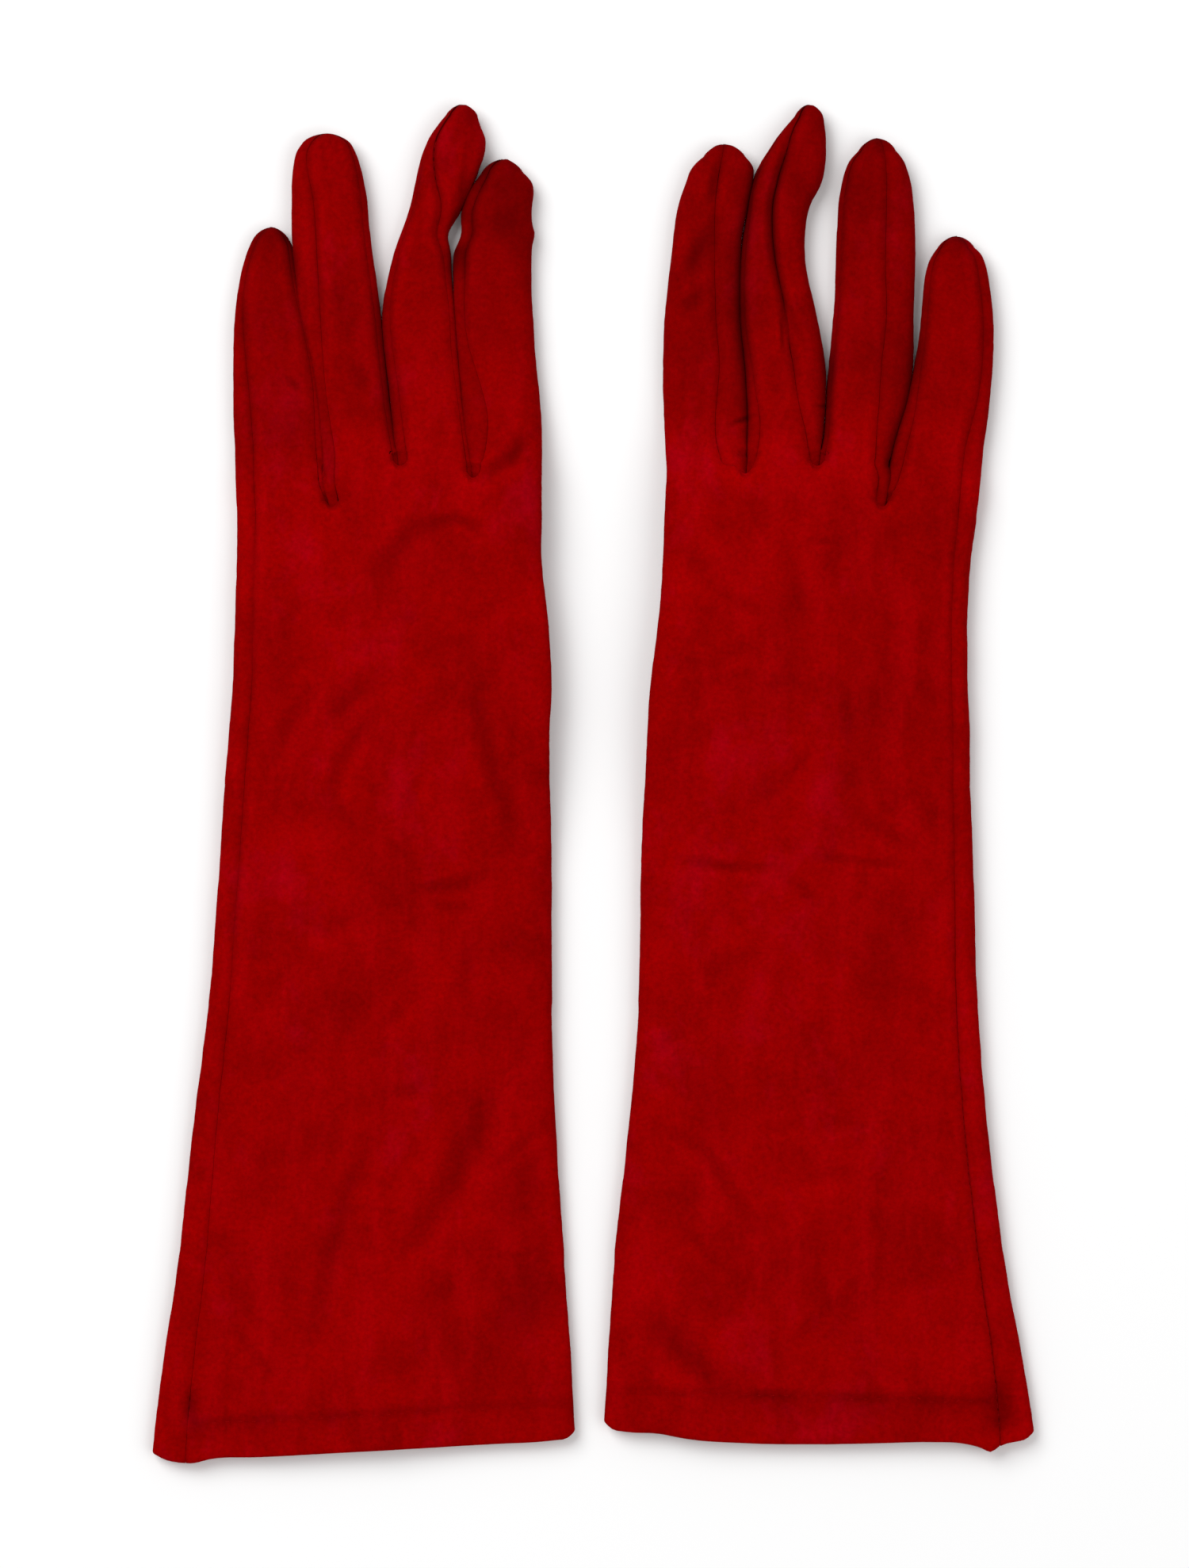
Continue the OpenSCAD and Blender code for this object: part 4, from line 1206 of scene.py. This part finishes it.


# ---------------------------------------------------------------- the pair

# What each glove has of its own, in mm. Places are X and Y in the frame. left, right and the seams'
# signs are those of a left glove, because the right one is worked out as its mirror image.
#   scatter: seed of the faint creases
#   smudges: (place, size, amount) of patches, partly darker nap and partly painted shade, or painted
#       highlight below 0
#   side_seam: (Y, share of the half width)
#   hem: (share of the half width, how far the hem's edge stands off a straight line)
#   side_seam_depth, lap: (Y, depth of the side seam, and height of its front edge over the other)
#   folds: (size, depth, stretch, degrees, seed) of soft noise
#   creases: (path, width, depth)
#   plump, longer, tone: share of a finger's usual thickness, extra length, extra darkness
#   deep: (share of the finger's length, depth of a seam that is pressed in, and of its painted shade)
#   flush: (Y, how flat a finger's side is pressed against its neighbour)
#   strip_dark: extra painted shade on the strip beside a seam, which lies recessed
#   bumps: (Y, reach, amount outwards) of the outline's bumps and dents
#   seams: (share of the finger's length, share of its half width) of the seams on its back
LEFT = {
    "scatter": 7,
    "smudges": [((-22.5, 145), 5, 0.42), ((-22, 152), 7, 0.2), ((-18, 138), 5, 0.16),
                ((-29, 141), 2.5, 0.25), ((-33.5, 134), 2.2, 0.35), ((-50, 130), 2.2, 0.2),
                ((-16, 72), 3.5, 0.18), ((-62, 22), 6, 0.12), ((-16, -127), 6, 0.18),
                ((-22, -140), 8, 0.14), ((-18.7, -41), 3, 0.22), ((-38, 60), 7, 0.1),
                ((-60, 118), 4, 0.12), ((-44, 152), 3, 0.12), ((-37.5, 156), 1.6, 0.25),
                ((-31, 168), 3, 0.3), ((-81.7, 137), 4, 0.25), ((-86.5, 115), 3.5, 0.2),
                ((-77.7, 88), 5, 0.2), ((-60, 98), 5, 0.15), ((-14, 60), 6, 0.14),
                ((-54, 62), 12, 0.09), ((-26, 104), 4, -0.14), ((-66, 158), 3, -0.1),
                ((-49.7, -109), 3.5, -0.12), ((-45.7, -95), 3.5, -0.12), ((-44, -151), 3.5, -0.12),
                ((-26, 20), 5, 0.12)],
    "side_seam": [(-172, -0.84), (-110, -0.86), (-40, -0.88), (10, -0.875), (60, -0.88), (80, -0.87)],
    "hem": [(-1, 2.2), (-0.94, 0.4), (-0.87, -0.5), (-0.82, -0.5), (-0.76, 0.1), (-0.5, 0),
            (0, 0), (0.6, 0), (0.9, 0.1), (0.96, 0.4), (1, 1.8)],
    "side_seam_depth": [(-172, 0.3), (-150, 0.3), (-110, 0.4), (-60, 0.8), (0, 0.9), (80, 1)],
    "lap": [(-172, 0.1), (80, 0)],
    "folds": [(34, 0.7, 2.2, -24, 3), (15, 0.34, 1.9, 18, 5), (7, 0.15, 2.0, 5, 8),
              (3.5, 0.05, 2.5, -30, 9)],
    "creases": [
        ([(-41.5, 65), (-34.7, 66.7), (-27.5, 64)], 1.2, 0.5),
        ([(-29, 76), (-22, 81), (-16, 87)], 1.7, 0.6),
        ([(-69.3, 82.1), (-68.1, 79.3), (-67.1, 76.5)], 0.5, 0.5),
        ([(-59.7, 105.7), (-56.7, 99.7)], 2, 0.3),
        ([(-64, 127), (-63, 118)], 2.2, 0.25),
        ([(-55.7, -90), (-61.7, -102), (-67.7, -126), (-71.7, -142)], 2.2, 0.4),
        ([(-25.7, -78), (-37.7, -106), (-47.7, -118)], 3, 0.4),
        ([(-17, -92), (-17, -112)], 3.5, 0.3),
        ([(-12, -116), (-15, -130), (-26, -148)], 5, 0.22),
        ([(-67, 15), (-60, 23), (-53, 28)], 2.6, 0.4),
        ([(-51.7, 25.7), (-55.7, 17.7), (-63.7, 5.7), (-67.7, -10.3)], 1.7, 0.4),
        ([(-46, -26.5), (-34, -26), (-25, -22)], 1.4, 0.35),
        ([(-40, -31), (-30, -31.5)], 1.2, 0.25),
        ([(-76, -33), (-66, -36), (-58, -32)], 2.4, 0.25),
        ([(-84, 17), (-78, 27), (-70, 33)], 2.4, 0.22),
        ([(-70, 26), (-76, 16), (-82, 4)], 2, 0.3),
        ([(-29.7, 27.7), (-29.7, 21.7), (-25.7, 5.7), (-21.7, -6.3), (-19.7, -16.3)], 2.1, 0.45),
        ([(-19.7, 17.7), (-20.7, 5.7), (-19.7, -2.3)], 1, 0.3),
        ([(-29.7, -38.3), (-31.7, -46.3), (-34.7, -54.3)], 1.8, 0.3),
        ([(-44, 3), (-47, -8)], 1.6, 0.3),
        ([(-77, 102), (-74.3, 99.3)], 0.7, 0.45),
        ([(-33.4, 146), (-31.3, 160), (-30, 163.6)], 0.8, 0.5),
        ([(-31.7, 68.1), (-37.7, 65.7), (-45.7, 63.7), (-49.7, 57.7), (-53.7, 49.7)], 2.2, 0.42),
        ([(-102, -153), (-101, -162)], 1.6, 0.5)],
    "plump": {"ring": 1.05},
    "longer": {"little": 0.6, "ring": 0.2, "index": 0.7},
    "tone": {"little": 0.15, "ring": 0.05, "middle": 0.03, "index": 0.15},
    "deep": {
        "ring outer": [(0, 0.4), (0.35, 0.4), (0.5, 0.9), (1, 0.9)],
        "middle inner": [(0, 0.5), (0.5, 0.5), (0.66, 1.2), (0.88, 1.4), (1, 1)],
        "index outer": [(0, 0.6), (0.55, 0.6), (0.68, 1.3), (0.85, 1.3), (1, 0.8)]},
    "flush": {
        "little right": [(70, 0), (77, 0.9), (122, 0.9), (130, 0)],
        "ring left": [(70, 0), (77, 0.9), (122, 0.9), (130, 0)],
        "middle right": [(80, 0), (86, 0.8), (124, 0.8), (130, 0)],
        "index left": [(80, 0), (86, 0.8), (124, 0.8), (130, 0)]},
    "strip_dark": {"ring outer": 0.16, "index outer": 0.1},
    "bumps": {
        "index right": [(138.8, 2.2, 0.7), (146, 2.5, -0.1), (155, 3, -0.5)],
        "index left": [(149, 5, 0.7), (138.7, 3.6, -1.6)],
        "middle right": [(149, 5, 0.7), (138.7, 3.6, -1.6), (165.5, 3, -0.5)],
        "middle left": [(170, 2.5, -0.5)],
        "little right": [(99, 22, 3.7)],
        "ring left": [(163, 2.5, -0.5), (99, 22, -3.7)],
        "ring right": [(137, 9, -0.4)]},
    "seams": {
        "little": {
            "outer": [(0, -0.64), (0.35, -0.6), (0.55, -0.7), (0.8, -0.85), (1, -0.8)],
            "inner": [(0, 0.9), (0.1, 0.86), (0.6, 0.88), (1, 0.8)]},
        "ring": {
            "outer": [(0, -0.9), (0.03, -0.7), (0.11, -0.67), (0.2, -0.71), (0.29, -0.72), (0.38, -0.64),
                      (0.47, -0.52), (0.6, -0.42), (0.74, -0.38), (0.83, -0.45), (0.92, -0.62), (1, -0.64)],
            "inner": [(0, 0.9), (0.1, 0.86), (0.5, 0.87), (0.8, 0.88), (1, 0.9)]},
        "middle": {
            "outer": [(0, -0.9), (0.05, -0.72), (0.17, -0.73), (0.4, -0.79), (0.7, -0.88), (1, -0.95)],
            "inner": [(0, 0.9), (0.17, 0.88), (0.32, 0.83), (0.48, 0.84), (0.59, 0.75), (0.71, 0.25),
                      (0.79, -0.33), (0.88, -0.7), (1, -0.75)]},
        "index": {
            "outer": [(0, -0.9), (0.09, -0.57), (0.23, -0.37), (0.32, -0.49), (0.45, -0.71), (0.67, -0.71),
                      (0.78, -0.72), (1, -0.67)]}},
}
RIGHT = {
    "scatter": 23,
    "smudges": [((40, 118), 3, 0.15), ((36, 96), 3, 0.2), ((56.3, 167.7), 3.5, 0.35),
                ((50.3, 157.7), 3.5, 0.25), ((65.3, 151.7), 3.5, 0.22), ((71.3, 160.7), 2.5, 0.25),
                ((92.3, 136.7), 2.5, 0.28), ((27, 112), 4, 0.15),
                ((51.5, 156), 2.2, -0.22), ((48.6, 141), 2, -0.25), ((51.2, 125), 2.2, -0.25),
                ((54, 107), 2.2, -0.22), ((38.3, -134), 3, -0.16), ((17, -150), 4, -0.12),
                ((90, -150), 4, -0.12), ((104, -157), 4, 0.2), ((98, -152), 4, 0.1),
                ((67, 148), 6, 0.12), ((92, 145), 6, 0.08), ((25, -145), 8, 0.08),
                ((43, 3), 3.5, 0.16), ((52, 152), 3, 0.15)],
    "side_seam": [(-172, -0.83), (-150, -0.85), (-60, -0.87), (10, -0.89), (60, -0.885), (80, -0.87)],
    "hem": [(-1, 1.7), (-0.97, 0.2), (-0.9, -1), (-0.83, -3.2), (-0.78, -2.3), (-0.7, -1.5),
            (-0.5, -1.3), (-0.3, -1.9), (0, -2.7), (0.3, -3), (0.6, -2.4), (0.75, -1.2), (0.9, -1),
            (0.96, -0.5), (1, 0.9)],
    "side_seam_depth": [(-172, 0.3), (-150, 0.45), (-115, 0.6), (-60, 0.85), (0, 0.8), (80, 0.9)],
    "lap": [(-172, 0.1), (-150, 0.3), (-100, 0.25), (-50, 0.1), (80, 0)],
    "folds": [(38, 0.7, 2.0, 16, 13), (15, 0.34, 1.9, -22, 15), (7, 0.15, 2.0, -5, 18),
              (3.5, 0.05, 2.5, 30, 19)],
    "creases": [
        ([(34.5, 90.5), (39.5, 92.3)], 0.6, 0.6),
        ([(31.3, 155.7), (29.3, 145.7)], 1.2, 0.4),
        ([(48.3, 58.3), (52, 48), (50, 42)], 2.2, 0.25),
        ([(30, 49), (36, 46), (42, 43)], 1.5, 0.25),
        ([(56.3, 95), (59, 95)], 0.5, 0.5),
        ([(21, -19.5), (33, -21), (44, -21.7)], 1.1, 0.45),
        ([(56, -18.3), (68, -19.9), (80, -20.7)], 0.9, 0.35),
        ([(66.3, -6.3), (72.3, -12.3), (82.3, -16.3)], 1.6, 0.3),
        ([(44.3, -20.3), (52.3, -26.3), (58.3, -32.3)], 1.6, 0.25),
        ([(55, 8), (52, 5), (50, 2)], 1.2, 0.2),
        ([(23.3, 127.7), (27.3, 135.7), (29.7, 141)], 2.2, 0.5),
        ([(28.3, 124.7), (24.3, 120.7), (22.5, 118.5)], 1.6, 0.4),
        ([(47.5, 119), (47.7, 108)], 0.5, 0.4),
        ([(49.5, 119.5), (50.8, 116), (52.3, 111.7)], 0.8, 0.3),
        ([(22, 62), (30, 48)], 2.5, 0.3),
        ([(64, 66), (58, 50)], 3, 0.3),
        ([(102, -150), (104, -160), (99, -164)], 2.6, 0.42),
        ([(36, 83), (39, 82)], 1.5, 0.5),
        ([(24, -70), (34, -95)], 5, 0.25),
        ([(80, -30), (72, -60)], 5, 0.22),
        ([(16.3, -86.3), (28.3, -92.3), (34.3, -102.3), (40.3, -112.3)], 1.6, 0.35),
        ([(14.3, -134.3), (22.3, -142.3), (33.3, -154.3)], 3, 0.5)],
    "plump": {},
    "longer": {"little": 0.3, "ring": 0.5, "index": 0.5},
    "tone": {"little": 0.14, "ring": 0.17, "middle": 0.15, "index": 0.19},
    "deep": {
        "middle outer": [(0, 0.5), (0.2, 0.75), (0.3, 1.2), (0.42, 1.9), (0.56, 2.4), (0.8, 2.4),
                         (0.93, 1.2), (1, 1)],
        "ring outer": [(0, 0.6), (1, 0.7)]},
    "flush": {},
    "strip_dark": {"ring outer": 0.1},
    "bumps": {
        "index left": [(123, 10, 0.35)],
        "index right": [(157.3, 1.8, 0.2)],
        "middle right": [(123, 10, 0.35), (170, 3.5, -0.8)],
        "middle left": [(133, 9, -0.3)],
        "ring right": [(121, 12, -0.55), (157.3, 1.8, 0.25)],
        "ring left": [(117, 9, -0.6), (157.3, 1.8, 0.25)],
        "little left": [(133.5, 1.6, 0.25)],
        "little right": [(117, 9, -0.5)]},
    "seams": {
        "little": {
            "outer": [(0, -0.66), (0.25, -0.6), (0.4, -0.7), (0.8, -0.72), (1, -0.7)],
            "inner": [(0, 0.9), (0.06, 0.82), (0.3, 0.7), (0.5, 0.83), (1, 0.85)]},
        "ring": {
            "outer": [(0, -0.9), (0.04, -0.68), (0.18, -0.37), (0.36, -0.24), (0.48, -0.31), (0.62, -0.24),
                      (1, -0.33)],
            "inner": [(0, 0.9), (0.1, 0.88), (1, 0.88)]},
        "middle": {
            "outer": [(0, -0.9), (0.09, -0.56), (0.18, -0.32), (0.32, -0.17), (0.48, -0.17), (0.59, -0.03),
                      (0.7, 0.18), (0.79, 0.3), (0.87, 0.37), (1, 0.78)],
            "inner": [(0, 0.9), (0.06, 0.72), (0.13, 0.68), (0.21, 0.78), (0.3, 0.86), (0.6, 0.9),
                      (0.8, 0.95), (1, 0.97)]},
        "index": {
            "outer": [(0, -0.9), (0.03, -0.48), (0.09, -0.3), (0.39, -0.38), (0.57, -0.31), (0.75, -0.16),
                      (0.93, 0.1), (1, 0.1)]}},
}

for side, spec in (("left", LEFT), ("right", RIGHT)):
    Glove(side, spec).build()


# ---------------------------------------------------------------- studio

def floor():
    """A sheet of white paper, far wider than the view."""
    size = 3000
    corners = np.array([(-size, -size, 0), (size, -size, 0), (size, size, 0), (-size, size, 0)], float)
    piece = new_piece("floor", corners, [(0, 1, 2, 3)])
    piece.location.z = -0.0003      # just under the lowest suede
    material, _, shader = new_material("paper", 0.9, 0.1)
    shader.inputs["Base Color"].default_value = (0.93, 0.93, 0.93, 1)
    piece.data.materials.append(material)


def lamp(name, place, size, watts):
    data = bpy.data.lights.new(name, "AREA")
    data.energy, data.size = watts, size
    piece = bpy.data.objects.new(name, data)
    bpy.context.scene.collection.objects.link(piece)
    piece.location = place
    piece.rotation_euler = (-Vector(place)).to_track_quat("-Z", "Y").to_euler()


def studio():
    scene = bpy.context.scene
    scene.view_settings.view_transform = "Standard"
    world = bpy.data.worlds.new("studio")
    world.use_nodes = True
    world.node_tree.nodes["Background"].inputs["Color"].default_value = (1, 1, 1, 1)
    world.node_tree.nodes["Background"].inputs["Strength"].default_value = 0.5
    scene.world = world
    floor()
    lamp("key", (-0.9, 0.9, 1.4), 1.3, 26)
    lamp("fill", (1.1, -0.4, 1.4), 1.4, 8)


def camera():
    """Straight above the pair, as far as a long lens stands."""
    low, high = np.array(CAD_BOX)
    centre = (low + high) / 2 + (0.0003, -0.0001, 0)        # lined up with the photo
    view_height, distance, sensor = 0.3956, 1.6, 36.0       # m, m and mm
    data = bpy.data.cameras.new("camera")
    data.sensor_width = sensor
    data.lens = sensor * distance / view_height
    piece = bpy.data.objects.new("camera", data)
    piece.location = (centre[0], centre[1], distance + 0.004)
    bpy.context.scene.collection.objects.link(piece)
    bpy.context.scene.camera = piece


studio()
camera()
